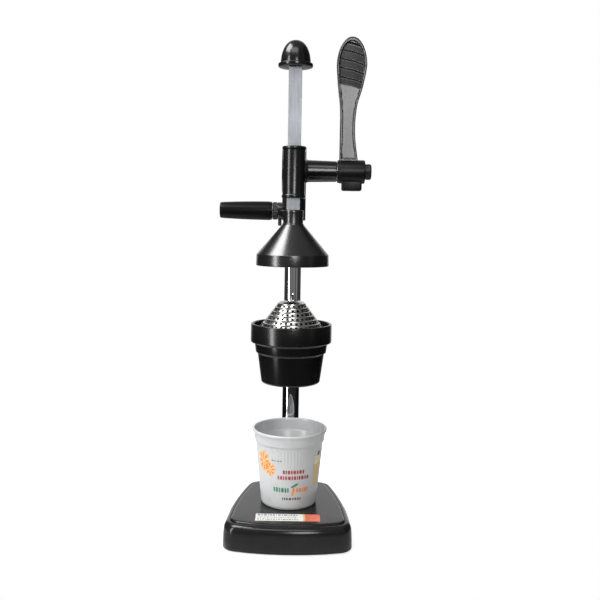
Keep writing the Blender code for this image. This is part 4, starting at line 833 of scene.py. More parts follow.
def make_bowl(finish):
    """The bowl: a banded rim, two stepped bands, a sloped floor with a drain, an arm and a collar."""
    rim = BOWL_HIGH.z
    floor = BOWL_LOW.z
    radius = BOWL_HIGH.x
    ledge = rim - 0.0171
    inner = radius - 0.0030
    profile = [
        (inner - 0.0042, ledge, 0.0005), (inner, ledge, 0.0003), (inner, rim, 0.0013), (radius, rim, 0.0013),
        (radius, rim - 0.0199, 0.0018), (0.0393, rim - 0.0205, 0.0003), (0.0388, rim - 0.0216, 0.0004),
        (0.0376, rim - 0.0306, 0.0012), (0.0359, rim - 0.0313, 0.0003), (0.0355, rim - 0.0322, 0.0004),
        (0.0314, floor + 0.0012, 0.0016), (0.0300, floor, 0.0010),
        (0.0060, floor, 0.0004), (0.0060, floor + 0.0030, 0.0004), (0.0280, floor + 0.0052, 0.0030),
        (0.0324, rim - 0.0345, 0.0010)]
    shape = lathe(fillet_loop(profile), ROUND, closed=True)
    bowl = to_object("bowl_shell", shape)
    collar_top = rim - 0.0200 - 0.0115 + 0.004
    collar_low = collar_top - 0.030
    arm = rounded_box((-0.009, 0.0345, collar_low), (0.009, PILLAR_MID.y, collar_top), 0.0020, 3)
    collar = pillar_rod(PILLAR_BORE + 0.0045, collar_low, collar_top, ROUND, 0.0012)
    combine(bowl, [arm, collar], "UNION")
    inside = lathe([(0, rim - 0.0171), (0.0355, rim - 0.0174), (0.0322, rim - 0.0345),
                    (0.0278, floor + 0.0056), (0, floor + 0.0056)], ROUND)
    bore = pillar_rod(PILLAR_BORE, collar_low - PAST, collar_top + PAST, ROUND)
    combine(bowl, [inside, bore, screw_hole("bowl_set_screw")], "DIFFERENCE")
    stand_in("bowl_shell", bowl, finish, "juice_bowl", sharp=55)


def strainer_rows(sizes):
    """Radius, height and hole count of each row, up the cone."""
    low = STRAINER_LOW.z + 0.0008
    slope = math.radians(53.13)
    rows = []
    for row in range(6):
        along = 0.0052 * (row + 0.75)
        radius = 0.0340 - along * math.cos(slope)
        height = low + 0.0112 + along * math.sin(slope)
        rows.append((radius, height, round(2 * math.pi * radius / sizes.hole_pitch)))
    return rows, slope, low


def make_strainer(finish, sizes):
    """A pressed sheet cone: rows of square holes, raised rings, a skirt, a brim and a rounded crown."""
    rows, slope, low = strainer_rows(sizes)
    run = math.cos(slope)
    rise = math.sin(slope)
    shape = bmesh.new()
    loops = []

    def ring(radius, height, count, pierced=False):
        loop = []
        for index in range(count):
            angle = 2 * math.pi * index / count
            loop.append(shape.verts.new((radius * math.cos(angle), radius * math.sin(angle), height)))
        for index in range(count):
            shape.edges.new((loop[index], loop[(index + 1) % count]))
        loops.append((loop, pierced))

    brim_edge = STRAINER_HIGH.x
    for radius, height in fillet([(brim_edge, low, 0), (0.0344, low, 0.0010), (0.0338, low + 0.0104, 0.0006),
                                  (0.0331, low + 0.0114)], 3):
        ring(radius, height, ROUND)
    half = 0.00125      # half a hole, up the slope
    band = 0.0017       # half the flat band that holds a row
    top = 0.0026        # from a row to the ridge above it
    ridge = 0.00055     # how far a ridge stands out
    for radius, height, holes in rows:
        count = holes * 4
        ring(radius + band * run, height - band * rise, count)
        ring(radius + half * run, height - half * rise, count, pierced=True)
        ring(radius - half * run, height + half * rise, count)
        ring(radius - band * run + 0.0001, height + band * rise, count)
        ring(radius - top * run + ridge * rise, height + top * rise + ridge * run, ROUND)
    crown = STRAINER_HIGH.z
    last_radius = rows[-1][0] - 0.0034 * run
    last_height = rows[-1][1] + 0.0034 * rise
    for share in (0.0, 0.3, 0.55, 0.75, 0.9):
        angle = share * math.pi / 2
        ring(last_radius * math.cos(angle), last_height + (crown - 0.0002 - last_height) * math.sin(angle),
             SMALL_ROUND)
    for (lower, pierced), (upper, _) in zip(loops, loops[1:]):
        if pierced:
            for index in range(len(lower)):
                if index % 4 < 2:
                    after = (index + 1) % len(lower)
                    shape.faces.new((lower[index], lower[after], upper[after], upper[index]))
        else:
            edges = []
            for loop in (lower, upper):
                for index, vertex in enumerate(loop):
                    mate = loop[(index + 1) % len(loop)]
                    edges += [edge for edge in vertex.link_edges if edge.other_vert(vertex) == mate]
            bmesh.ops.bridge_loops(shape, edges=edges)
    shape.faces.new(loops[-1][0])
    bmesh.ops.recalc_face_normals(shape, faces=shape.faces)
    item = to_object("strainer_sheet", shape)
    sheet = item.modifiers.new("sheet", "SOLIDIFY")
    sheet.thickness = 0.0006
    sheet.offset = -1
    apply_modifiers(item)
    stand_in("strainer_sheet", item, finish, "strainer_cone", sharp=45)


# ---------------------------------------------------------------- bell, rack and knob

def make_bell(finish):
    """The bell: a short upright rim, a straight cone, a stepped neck, hollow below and bored above."""
    low = BELL_LOW.z
    top = BELL_HIGH.z
    radius = BELL_HIGH.x
    neck = 0.0111
    cone_foot = low + 0.0119
    neck_foot = top - 0.0149
    bore = 0.0063
    profile = [
        (0, top - 0.0128), (bore, top - 0.0128), (bore, top, 0.0004), (neck, top, 0.0007),
        (neck, top - 0.0026, 0.0003), (neck - 0.0005, top - 0.0031, 0.0003),
        (neck - 0.0004, neck_foot + 0.0012, 0.0006), (neck + 0.0002, neck_foot + 0.0008, 0.0004),
        (neck + 0.0003, neck_foot - 0.0002, 0.0014), (radius - 0.0004, cone_foot - 0.0002, 0.0014),
        (radius, low, 0.0008), (radius - 0.0030, low, 0.0008),
        (radius - 0.0030, cone_foot - 0.0010, 0.0020), (0.0082, neck_foot - 0.0012, 0.0030),
        (0, neck_foot - 0.0012)]
    bell = to_object("bell_shell", lathe(fillet(profile), ROUND))
    screw = span("bell_lock_screw")
    hole = rod_shape(0.0023, (0, 0.001, screw[2].z), (0, neck + PAST, screw[2].z), 32)
    combine(bell, [hole], "DIFFERENCE")
    stand_in("bell_shell", bell, finish, "press_bell", sharp=50)


def make_knob(finish):
    """The top knob: a dome on a thin flange, with a blind bore for the rack's stud."""
    low = KNOB_LOW.z
    top = KNOB_HIGH.z
    flange_top = low + 0.0036
    flange = KNOB_HIGH.x
    dome = 0.0159
    profile = [(0, top)]
    for degrees in range(86, 0, -4):
        angle = math.radians(degrees)
        profile.append((dome * math.cos(angle) ** 0.85, flange_top + (top - flange_top) * math.sin(angle)))
    profile += [(dome, flange_top + 0.0002, 0.0005), (dome + 0.0006, flange_top, 0.0005),
                (flange, flange_top, 0.0012), (flange, low, 0.0012), (STUD_BORE, low, 0.0003),
                (STUD_BORE, low + 0.0133), (0, low + 0.0133)]
    stand_in("knob_dome", lathe(fillet(profile), ROUND), finish, "top_knob", sharp=60)


# ---------------------------------------------------------------- head casting

def make_head(finish, sizes):
    """The head: a guide sleeve with lipped ends, housing, barrel, web, pillar socket and handle boss."""
    guide_low = HEAD_LOW.z + 0.0235
    guide_high = SHAFT_MID.z + 0.0240
    half = 0.01275
    shaft_y = SHAFT_MID.y
    shaft_z = SHAFT_MID.z

    def sleeve(outset, height):
        ring = []
        reach = half - outset
        for step in range(37):
            angle = math.pi * (1 + step / 36)
            ring.append(Vector((reach * math.cos(angle), reach * math.sin(angle), height)))
        ring.append(Vector((reach, shaft_y, height)))
        ring.append(Vector((-reach, shaft_y, height)))
        return ring

    tall = guide_high - guide_low
    section = [(0.0007, 0), (0.0002, 0.0004), (0.0, 0.0010), (0.0, 0.0024), (0.0003, 0.0031),
               (0.0007, 0.0036), (0.0008, 0.0042)]
    section += [(outset, tall - height) for outset, height in reversed(section)]
    head = to_object("head_body", loft([sleeve(outset, guide_low + height) for outset, height in section]))
    housing_left = -0.01045
    housing = shaft_rod(0.0240, housing_left, half - 0.0010, ROUND)
    barrel = lathe(fillet([(0, 0.0458), (0.01115, 0.0458, 0.0005), (0.0112, 0.0420), (0.0119, 0.0150, 0.0020),
                           (0.0140, 0.0110), (0, 0.0110)]), ROUND, (0, shaft_y, shaft_z), X_AXIS)
    web = box_shape((-half * 0.75, shaft_y, guide_low + 0.010),
                    (half * 0.75, PILLAR_MID.y, guide_high - 0.003))
    socket = pillar_rod(PILLAR_BORE + 0.0036, HEAD_LOW.z, HEAD_HIGH.z, ROUND, 0.0012)
    handle_z = GRIP_MID.z
    boss = rod_shape(0.0098, (-PILLAR_RADIUS, PILLAR_MID.y, handle_z), (-0.0185, PILLAR_MID.y, handle_z),
                     ROUND, 0.0008)
    combine(head, [housing, barrel, web, socket, boss], "UNION")
    channel = 0.0073
    recess = shaft_rod(0.0240, -half - PAST, housing_left, ROUND)
    slot = box_shape((-channel, -channel, guide_low - PAST), (channel, channel, guide_high + PAST))
    cavity = shaft_rod(0.0188, housing_left - PAST, 0.0085, ROUND)
    bore = shaft_rod(0.0084, 0, 0.048)
    pillar = pillar_rod(PILLAR_BORE, HEAD_LOW.z - PAST, PILLAR_HIGH.z + FIT, ROUND)
    stud = rod_shape(STUD_BORE, (-PILLAR_RADIUS, PILLAR_MID.y, handle_z), (-0.021, PILLAR_MID.y, handle_z),
                     32)
    tail = span("handle_set_screw")[2]
    tail_hole = rod_shape(0.0023, (tail.x, tail.y, handle_z - 0.012), (tail.x, tail.y, handle_z), 32)
    cuts = [recess, slot, cavity, bore, pillar, stud, tail_hole]
    cuts += [screw_hole("head_set_screw_upper"), screw_hole("head_set_screw_lower")]
    for index in range(1, 4):
        _, high, (_, y, z) = span(f"cover_screw_{index}")
        cuts.append(rod_shape(0.0018, (housing_left - PAST, y, z), (high.x + FIT, y, z), 16))
    combine(head, cuts, "DIFFERENCE")
    bevel(head, sizes.edge_rounding * 0.6, angle=48)
    stand_in("head_body", head, finish, "head_casting", sharp=50)


# ---------------------------------------------------------------- lever

SHANK_FOOT = 0.0075          # where the blade leaves the hub, as a height above the shaft
PADDLE_FOOT = 0.080          # where the rings close up for the grooves
TIP_START = 0.113            # where the paddle's sides turn in to its tip
LEVER_TIP = 0.1432
PADDLE_MIDDLE = 0.0602
PADDLE_HALF = 0.0162
LEVER_LEFT = [(0.000, 0.0486), (0.040, 0.0486), (0.069, 0.0482), (0.090, 0.0457), (TIP_START, 0.0439),
              (LEVER_TIP, PADDLE_MIDDLE)]
LEVER_RIGHT = [(0.000, 0.0697), (0.040, 0.0650), (0.069, 0.0664), (0.090, 0.0722), (TIP_START, 0.0764),
               (LEVER_TIP, PADDLE_MIDDLE)]
LEVER_THICK = 0.009
LEVER_EDGE = 0.0011          # radius along the blade's edges
BLADE_COLUMNS = 44           # points across the blade
HUB_RADIUS = 0.0127
GROOVE_SLANT = math.tan(math.radians(15))


def smooth_step(value):
    value = min(max(value, 0.0), 1.0)
    return value * value * (3 - 2 * value)


def side_at(stations, height):
    """Where a side of the lever runs at a height: a smooth line, then a quarter oval at the tip."""
    if height >= TIP_START:
        wide = stations[-2][1] - PADDLE_MIDDLE
        share = min((height - TIP_START) / (LEVER_TIP - TIP_START), 1.0)
        return PADDLE_MIDDLE + wide * math.sqrt(max(1 - share ** 2, 0.0))
    knots = stations[:-1]
    for index in range(len(knots) - 1):
        (h0, x0), (h1, x1) = knots[index], knots[index + 1]
        if height <= h1:
            before = knots[index - 1] if index else (h0 - (h1 - h0), x0)
            after = knots[index + 2] if index + 2 < len(knots) else (h1 + (h1 - h0), x1)
            slope0 = (x1 - before[1]) / (h1 - before[0])
            slope1 = (after[1] - x0) / (after[0] - h0)
            rise = h1 - h0
            t = (height - h0) / rise
            return ((2 * t ** 3 - 3 * t ** 2 + 1) * x0 + (t ** 3 - 2 * t ** 2 + t) * rise * slope0
                    + (-2 * t ** 3 + 3 * t ** 2) * x1 + (t ** 3 - t ** 2) * rise * slope1)
    return knots[-1][1]


def lever_face(x, height, edge, sizes):
    """How deep the front face lies: a raised rim, a sunk field and slanted finger grooves on the paddle."""
    sunk = 0.0009 * smooth_step((edge - 0.0020) / 0.0007) * smooth_step((height - 0.0135) / 0.0008)
    slant = height + (x - PADDLE_MIDDLE) * GROOVE_SLANT
    slant += 0.0004 * math.sin((x - 0.044) * 260)
    phase = ((slant - 0.0895) / sizes.groove_pitch) % 1.0
    inside = smooth_step((slant - 0.0900) / 0.0012) * smooth_step((0.1375 - slant) / 0.004)
    tooth = phase * (1 - smooth_step((phase - 0.80) / 0.20)) * 1.2
    groove = sizes.groove_depth * tooth * inside * smooth_step((edge - 0.0019) / 0.0008)
    return sunk + groove


def blade_ring(level, sizes):
    """The blade's outline at a level: points across the front, then back across the rear.

    Over the grooves a ring follows their slant, so that the teeth stay crisp.
    """
    follow = smooth_step((level - 0.072) / 0.012) * smooth_step((LEVER_TIP - 0.004 - level) / 0.014)
    front = []
    back = []
    for column in range(BLADE_COLUMNS + 1):
        share = 0.5 - 0.5 * math.cos(math.pi * column / BLADE_COLUMNS)
        height = level
        for _ in range(5):
            left = side_at(LEVER_LEFT, height)
            x = left + (side_at(LEVER_RIGHT, height) - left) * share
            height = level - (x - PADDLE_MIDDLE) * GROOVE_SLANT * follow
        right = side_at(LEVER_RIGHT, height)
        edge = min(x - left, right - x)
        if height > TIP_START:
            lean = math.hypot(x - PADDLE_MIDDLE, (height - TIP_START) * PADDLE_HALF / (LEVER_TIP - TIP_START))
            edge = min(edge, max(PADDLE_HALF - lean, 0.0), (LEVER_TIP - height) * 2)
        rounding = LEVER_EDGE - math.sqrt(max(LEVER_EDGE ** 2 - max(LEVER_EDGE - edge, 0) ** 2, 0))
        front.append(Vector((x, SHAFT_MID.y - LEVER_THICK / 2 + rounding + lever_face(x, height, edge, sizes),
                             SHAFT_MID.z + height)))
        back.append(Vector((x, SHAFT_MID.y + LEVER_THICK / 2 - rounding, SHAFT_MID.z + height)))
    return front + back[::-1]


def make_lever(finish, hub_finish, sizes):
    """The lever: a tapered shank that widens to an oval paddle, on a round hub with a square lug below."""
    shaft_y = SHAFT_MID.y
    shaft_z = SHAFT_MID.z
    tip = LEVER_TIP
    heights = [SHANK_FOOT + (PADDLE_FOOT - SHANK_FOOT) * step / 90 for step in range(90)]
    heights += [PADDLE_FOOT + (TIP_START - PADDLE_FOOT) * step / 110 for step in range(111)]
    heights += [TIP_START + (tip - TIP_START) * math.sin(math.pi / 2 * step / 150) for step in range(1, 150)]
    lever = to_object("lever_blade", loft([blade_ring(level, sizes) for level in heights]))
    low = LEVER_LOW
    high = LEVER_HIGH
    hub = lathe(fillet([(0, high.x), (HUB_RADIUS, high.x, 0.0012), (HUB_RADIUS, low_hub() + 0.0028, 0.0004),
                        (0.0123, low_hub() + 0.0024, 0.0003), (0.0123, low_hub(), 0.0008), (0, low_hub())]),
                ROUND, (0, shaft_y, shaft_z), X_AXIS)
    lug = rounded_box((0.0515, shaft_y - 0.0065, low.z), (0.0733, shaft_y + 0.0065, shaft_z), 0.0022, 4)
    hub = to_object("lever_hub", hub)
    combine(hub, [lug], "UNION")
    ends = (low_hub() - PAST, shaft_y, shaft_z), (high.x + PAST, shaft_y, shaft_z)
    combine(lever, [rod_shape(0.0124, *ends)], "DIFFERENCE")
    bore = rod_shape(0.0063, *ends)
    grub = span("hub_grub_screw")[2]
    grub_hole = rod_shape(0.0028, (grub.x, shaft_y, low.z - PAST), (grub.x, shaft_y, shaft_z), 32)
    combine(hub, [bore, grub_hole], "DIFFERENCE")
    stand_in("lever_blade", lever, finish, "lever_arm", sharp=50)
    settle(hub, hub_finish, body_of("lever_arm"), sharp=50)


def low_hub():
    """Where the lever's hub starts, just clear of the thin washer."""
    return span("hub_washer")[1].x + 0.0003


# ---------------------------------------------------------------- side handle and fixings

def make_grip(finish):
    """The steady handle's grip: a slim barrel shape with a rounded end, bored for its stud."""
    length = GRIP_HIGH.x - GRIP_LOW.x
    wide = (GRIP_HIGH.z - GRIP_LOW.z) / 2
    narrow = 0.00895
    profile = [(0, length), (narrow - 0.0002, length, 0.0022), (narrow + 0.0001, length - 0.0030, 0.0040)]
    for step in range(9, 1, -1):
        share = step / 10
        swell = narrow + (wide - narrow) * (1 - share ** 2.2)
        profile.append((swell, length * share))
    profile += [(wide, length * 0.10, 0.0040), (wide, 0.0024, 0.0003), (wide - 0.0004, 0.0020, 0.0003),
                (wide - 0.0003, 0, 0.0008), (STUD_BORE, 0, 0.0003), (STUD_BORE, 0.050), (0, 0.050)]
    shape = lathe(fillet(profile), ROUND, (GRIP_HIGH.x, GRIP_MID.y, GRIP_MID.z), -X_AXIS)
    stand_in("grip_barrel", shape, finish, "handle_grip", sharp=50)


def make_ring_nut(finish):
    """A ribbed lock nut between the boss and the grip."""
    low, high, middle = span("handle_ring_nut")
    radius = (high.z - low.z) / 2
    ribs = 18
    length = high.x - low.x

    def wobble(angle, height):
        end = min(height, length - height)
        fade = smooth_step(end / 0.0006)
        return -0.0007 * fade * smooth_step(0.5 + 0.9 * math.cos(ribs * angle))

    heights = [0.0, 0.0003, 0.0006, 0.0010, length / 2, length - 0.0010, length - 0.0006, length - 0.0003,
               length]
    outline = [(STUD_BORE, 0.0)] + [(radius - 0.00002 - 0.0003 * (height in (0.0, length)), height)
                                    for height in heights] + [(STUD_BORE, length), (STUD_BORE, 0.0)]
    rings = []
    steps = ribs * 10
    for edge, height in outline:
        ring = []
        for step in range(steps):
            angle = 2 * math.pi * step / steps
            reach = edge + (wobble(angle, height) if edge > STUD_BORE else 0)
            ring.append(Vector((low.x + height, middle.y + reach * math.cos(angle),
                                middle.z + reach * math.sin(angle))))
        rings.append(ring)
    stand_in("ring_nut", loft(rings, False, False), finish, "handle_ring_nut", sharp=50)


def make_pillar(finish):
    """The pillar: bright bar with chamfered top, and a threaded stud below for its nut."""
    profile = [(0, PILLAR_HIGH.z), (PILLAR_RADIUS, PILLAR_HIGH.z, 0.0008), (PILLAR_RADIUS, 0.0264, 0.0004),
               (0.0060, 0.0263, 0.0003)]
    turns = 12
    low = PILLAR_LOW.z
    start = 0.0210
    for index in range(turns * 2):
        height = start - (start - low - 0.0006) * index / (turns * 2)
        profile.append((0.0060 - 0.0005 * (index % 2), height))
    profile += [(0.0050, low), (0, low)]
    shape = lathe(fillet(profile), ROUND, (0, PILLAR_MID.y, 0))
    stand_in("pillar_bar", shape, finish, "pillar", sharp=45)


def make_lever_bolt(finish):
    """The hexagon bolt on the shaft's end: a chamfered head with a slight dome, and its shank."""
    low, high, middle = span("lever_bolt")
    head_start = high.x - 0.0075
    rings = []
    flats = 0.0165 / 2

    def hexagon(share, x, roundness):
        ring = []
        for step in range(96):
            angle = 2 * math.pi * step / 96
            sector = (angle + math.pi / 6) % (math.pi / 3) - math.pi / 6
            sharp = flats / math.cos(sector)
            reach = (sharp * (1 - roundness) + min(sharp, flats * 1.02) * roundness) * share
            ring.append(Vector((x, middle.y + reach * math.sin(angle), middle.z + reach * math.cos(angle))))
        return ring

    for share, x, roundness in ((0.50, head_start, 1), (0.95, head_start, 1),
                                (1.0, head_start + 0.0004, 0.25), (1.0, high.x - 0.0024, 0.0),
                                (1.0, high.x - 0.0014, 0.30), (0.97, high.x - 0.0007, 0.75),
                                (0.90, high.x - 0.0003, 1.0), (0.80, high.x - 0.0001, 1), (0.40, high.x, 1)):
        rings.append(hexagon(share, x, roundness))
    bolt = to_object("lever_bolt_head", loft(rings))
    combine(bolt, [rod_shape(0.0030, (low.x, middle.y, middle.z), (head_start + 0.001, middle.y, middle.z),
                             32)], "UNION")
    stand_in("lever_bolt_head", bolt, finish, "lever_bolt", sharp=40)


# ---------------------------------------------------------------- stage

# how bright the room looks in gloss, from straight behind the press (0) round to the front (1)
ROOM_WALLS = [(0.0, 1.0), (0.155, 1.0), (0.175, 0.05), (0.58, 0.04), (0.66, 0.26), (0.76, 0.08), (0.88, 0.22),
              (1.0, 0.13)]
ROOM_CEILING = 0.30
FLOOR_RADIUS = 0.30
FLOOR_BACK = 0.10


def area_light(name, place, target, width, height, power):
    """A soft rectangular lamp that looks at a point and stays out of the picture."""
    data = bpy.data.lights.new(name, "AREA")
    data.shape = "RECTANGLE"
    data.size = width
    data.size_y = height
    data.energy = power
    lamp = bpy.data.objects.new(name, data)
    lamp.location = place
    lamp.visible_camera = False
    lamp.rotation_euler = (Vector(target) - Vector(place)).to_track_quat("-Z", "Y").to_euler()
    bpy.context.scene.collection.objects.link(lamp)


def make_world(strength):
    """A white backdrop behind the press in a dim room, and an even fill as a light."""
    world = bpy.data.worlds.new("studio")
    bpy.context.scene.world = world
    world.use_nodes = True
    world.node_tree.nodes.clear()
    n = Nodes(world.node_tree)
    towards = n.add("ShaderNodeTexCoord").outputs["Generated"]
    x, y, z = n.add("ShaderNodeSeparateXYZ", towards).outputs
    turn = n.math("DIVIDE", n.math("ABSOLUTE", n.math("ARCTAN2", x, y)), math.pi)
    height = n.math("MULTIPLY_ADD", z, 0.5, 0.5)
    below = n.ramp(height, [(0.38, 0.12), (0.47, 1.0)])
    above = n.ramp(height, [(0.80, 0.0), (0.95, 1.0)])
    walls = n.add("ShaderNodeVectorMath", n.ramp(turn, ROOM_WALLS), below, operation="MULTIPLY").outputs[0]
    room = n.mix(above, walls, (ROOM_CEILING, ROOM_CEILING, ROOM_CEILING))
    rays = n.add("ShaderNodeLightPath").outputs
    white = n.math("MAXIMUM", rays["Is Camera Ray"], rays["Is Transmission Ray"])
    fill = n.add("ShaderNodeBackground", (1, 1, 1, 1), strength).outputs[0]
    mirrored = n.add("ShaderNodeBackground", room, 1.0).outputs[0]
    seen = n.add("ShaderNodeBackground", (1, 1, 1, 1), 1.0).outputs[0]
    light = n.add("ShaderNodeMixShader", rays["Is Glossy Ray"], fill, mirrored).outputs[0]
    n.add("ShaderNodeOutputWorld", n.add("ShaderNodeMixShader", white, light, seen).outputs[0])


def floor_finish():
    """A pale floor that reads white and still takes the press's shadow."""
    n = Surface("floor_white")
    n.feed("Base Color", n.ramp(n.noise(3.0, 2.0), [(0.3, 0.80), (0.7, 0.83)]))
    n.feed("Roughness", 0.8)
    n.feed("Specular IOR Level", 0.0)
    rays = n.add("ShaderNodeLightPath").outputs
    straight = n.math("MAXIMUM", rays["Is Camera Ray"], rays["Is Glossy Ray"])
    seen = n.math("MAXIMUM", straight, rays["Is Transmission Ray"])
    level = n.math("MULTIPLY", rays["Is Camera Ray"], 0.55)
    n.feed("Emission Strength", n.math("MULTIPLY_ADD", seen, 0.12, level))
    n.feed("Emission Color", (1, 1, 1, 1))
    return n.material


def make_stage(stage):
    """The floor, the room, the lamps and the camera."""
    scene = bpy.context.scene
    shape = bmesh.new()
    bmesh.ops.create_circle(shape, cap_ends=True, segments=ROUND, radius=FLOOR_RADIUS,
                            matrix=Matrix.Translation((0, FLOOR_BACK, 0)))
    floor = to_object("floor", shape)
    floor.data.materials.append(floor_finish())
    make_world(stage.fill)
    middle = (0, 0, 0.30)
    area_light("strip_soft", (-0.90, -0.66, 0.34), (0, 0, 0.28), 0.20, 1.30, stage.strip_power)
    area_light("front_soft", (0.20, -1.38, 0.66), middle, 0.34, 0.56, stage.front_power)
    area_light("top_soft", (-0.14, -0.74, 1.30), middle, 0.90, 0.40, stage.top_power)
    area_light("overhead_soft", (-0.60, -0.12, 1.20), (0, 0, 0.32), 0.62, 0.46, stage.overhead_power)
    data = bpy.data.cameras.new("camera")
    camera = bpy.data.objects.new("camera", data)
    scene.collection.objects.link(camera)
    camera.location = (stage.aside, -stage.distance, stage.eye_height)
    look = Matrix.Rotation(math.pi / 2 - stage.pitch, 4, "X") @ Matrix.Rotation(stage.roll, 4, "Z")
    camera.rotation_euler = look.to_euler()
    data.lens = stage.lens
    data.sensor_width = 36.0
    data.shift_y = stage.shift
    data.clip_start = 0.01
    scene.camera = camera
    scene.view_settings.view_transform = "Standard"


# ---------------------------------------------------------------- operators

FINISHES = {}


def finishes(scene):
    """Make each finish once and keep them by name."""
    if not FINISHES:
        colours = scene.press_colours
        FINISHES.update({
            "enamel": enamel("black_enamel", colours.enamel),
            "bell": enamel("bell_enamel", shade(colours.enamel, 1.2), rough=(0.20, 0.29), specular=0.9),
            "base": enamel("base_enamel", colours.base, rough=(0.12, 0.22), peel=0.10, edge=2.6,
                           specular=0.18, speck=4.6, polished=0.36),
            "hub": enamel("hub_enamel", colours.enamel, rough=(0.30, 0.40), peel=0.08, specular=0.22),
            "lever": enamel("lever_enamel", colours.lever, rough=(0.22, 0.30), peel=0.05, edge=1.8,
                            specular=0.6),
            "knob": plastic("knob_plastic", shade(colours.plastic, 0.6), rough=(0.16, 0.24), grain=0.03),
            "grip": plastic("grip_plastic", shade(colours.plastic, 0.4), rough=(0.28, 0.36), grain=0.015,
                            specular=0.12),
            "chrome": plated("bright_chrome", (0.80, 0.80, 0.81), rough=(0.03, 0.08), depth=0.015,
                             spread=(0.96, 1.03)),
            "plating": plated("rack_plating", colours.plating, rough=(0.34, 0.50), metallic=0.45, depth=0.10),
            "steel": plated("turned_steel", (0.52, 0.52, 0.53), rough=(0.22, 0.36)),
            "zinc": plated("zinc_plating", (0.58, 0.59, 0.60), rough=(0.26, 0.40), streak=(1, 1, 1),
                           scale=500.0),
            "sheet": plated("pierced_stainless", (0.48, 0.48, 0.47), rough=(0.22, 0.34), streak=(1, 1, 1),
                            depth=0.05, scale=400.0),
            "gear": plated("cut_gear_steel", (0.36, 0.35, 0.34), rough=(0.30, 0.46), streak=(0.05, 1, 1)),
            "bronze": plated("sintered_bronze", (0.50, 0.33, 0.14), rough=(0.34, 0.50), streak=(1, 1, 1),
                             scale=1400.0, depth=0.12),
            "dark_steel": plated("blackened_steel", (0.030, 0.030, 0.031), rough=(0.28, 0.42), metallic=0.3),
            "cup": cup_plastic("white_plastic", colours.cup),
            "rubber": rubber("foot_rubber"),
        })
        FINISHES.update({
            "white": print_ink("ink_white", (0.66, 0.67, 0.64), (0.76, 0.77, 0.74)),
            "red": print_ink("ink_red", (0.28, 0.035, 0.04), (0.42, 0.08, 0.08)),
            "label_red": print_ink("ink_vermilion", (0.62, 0.13, 0.075), (0.72, 0.19, 0.12)),
            "border": print_ink("ink_border", (0.10, 0.015, 0.018), (0.17, 0.03, 0.03)),
            "green": print_ink("ink_green", (0.025, 0.16, 0.09), (0.06, 0.26, 0.15)),
            "amber": print_ink("ink_amber", (0.60, 0.42, 0.12), (0.72, 0.55, 0.24)),
            "grey": print_ink("ink_grey", (0.045, 0.05, 0.055), (0.11, 0.12, 0.12)),
            "rind": print_ink("ink_rind", (0.70, 0.36, 0.08), (0.80, 0.46, 0.14)),
            "pith": print_ink("ink_pith", (0.74, 0.62, 0.40), (0.80, 0.70, 0.50)),
            "flesh": print_ink("ink_flesh", (0.66, 0.19, 0.025), (0.80, 0.30, 0.05), scale=420.0),
        })
    return FINISHES


class PressOperator:
    """What every step shares: it runs its own make() and fails loudly."""
    bl_options = {"REGISTER"}

    def execute(self, context):
        self.make(context.scene, finishes(context.scene))
        return {"FINISHED"}


class PRESS_OT_stage(PressOperator, bpy.types.Operator):
    """Set the floor, the light and the camera"""
    bl_idname = "press.stage"
    bl_label = "Stage"

    def make(self, scene, finish):
        make_stage(scene.press_stage)


class PRESS_OT_base(PressOperator, bpy.types.Operator):
    """Model the cast base, its feet and the printed panel"""
    bl_idname = "press.base"
    bl_label = "Base"

    def make(self, scene, finish):
        make_base(finish["base"])
        for index in range(1, 5):
            dress(f"rubber_foot_{index}", finish["rubber"], 0.0003)
        inks = {"border": finish["border"], "white": finish["white"], "amber": finish["amber"],
                "red": finish["label_red"], "grey": finish["grey"], "green": finish["green"]}
        make_label(inks)


class PRESS_OT_pillar(PressOperator, bpy.types.Operator):
    """Model the chromed pillar and finish its nut and washer"""
    bl_idname = "press.pillar"
    bl_label = "Pillar"

    def make(self, scene, finish):
        make_pillar(finish["chrome"])
        dress("pillar_nut", finish["zinc"], 0.0004)
        dress("pillar_washer", finish["zinc"], 0.0002)


class PRESS_OT_cup(PressOperator, bpy.types.Operator):
    """Model the collecting cup and its plain fruit print"""
    bl_idname = "press.cup"
    bl_label = "Cup"

    def make(self, scene, finish):
        make_cup(finish["cup"], scene.press_sizes)
        make_cup_print(finish)


class PRESS_OT_bowl(PressOperator, bpy.types.Operator):
    """Model the juice bowl with its arm and collar"""
    bl_idname = "press.bowl"
    bl_label = "Bowl"

    def make(self, scene, finish):
        make_bowl(finish["enamel"])
        dress("bowl_set_screw", finish["zinc"], 0.0002)


class PRESS_OT_strainer(PressOperator, bpy.types.Operator):
    """Model the pierced strainer cone"""
    bl_idname = "press.strainer"
    bl_label = "Strainer"

    def make(self, scene, finish):
        make_strainer(finish["sheet"], scene.press_sizes)


class PRESS_OT_bell(PressOperator, bpy.types.Operator):
    """Model the bell that presses the fruit"""
    bl_idname = "press.bell"
    bl_label = "Bell"

    def make(self, scene, finish):
        make_bell(finish["bell"])
        dress("bell_lock_screw", finish["dark_steel"], 0.0002)


class PRESS_OT_rack(PressOperator, bpy.types.Operator):
    """Finish the rack and model its top knob"""
    bl_idname = "press.rack"
    bl_label = "Rack and knob"

    def make(self, scene, finish):
        dress("rack_bar", finish["plating"], 0.00035)
        make_knob(finish["knob"])


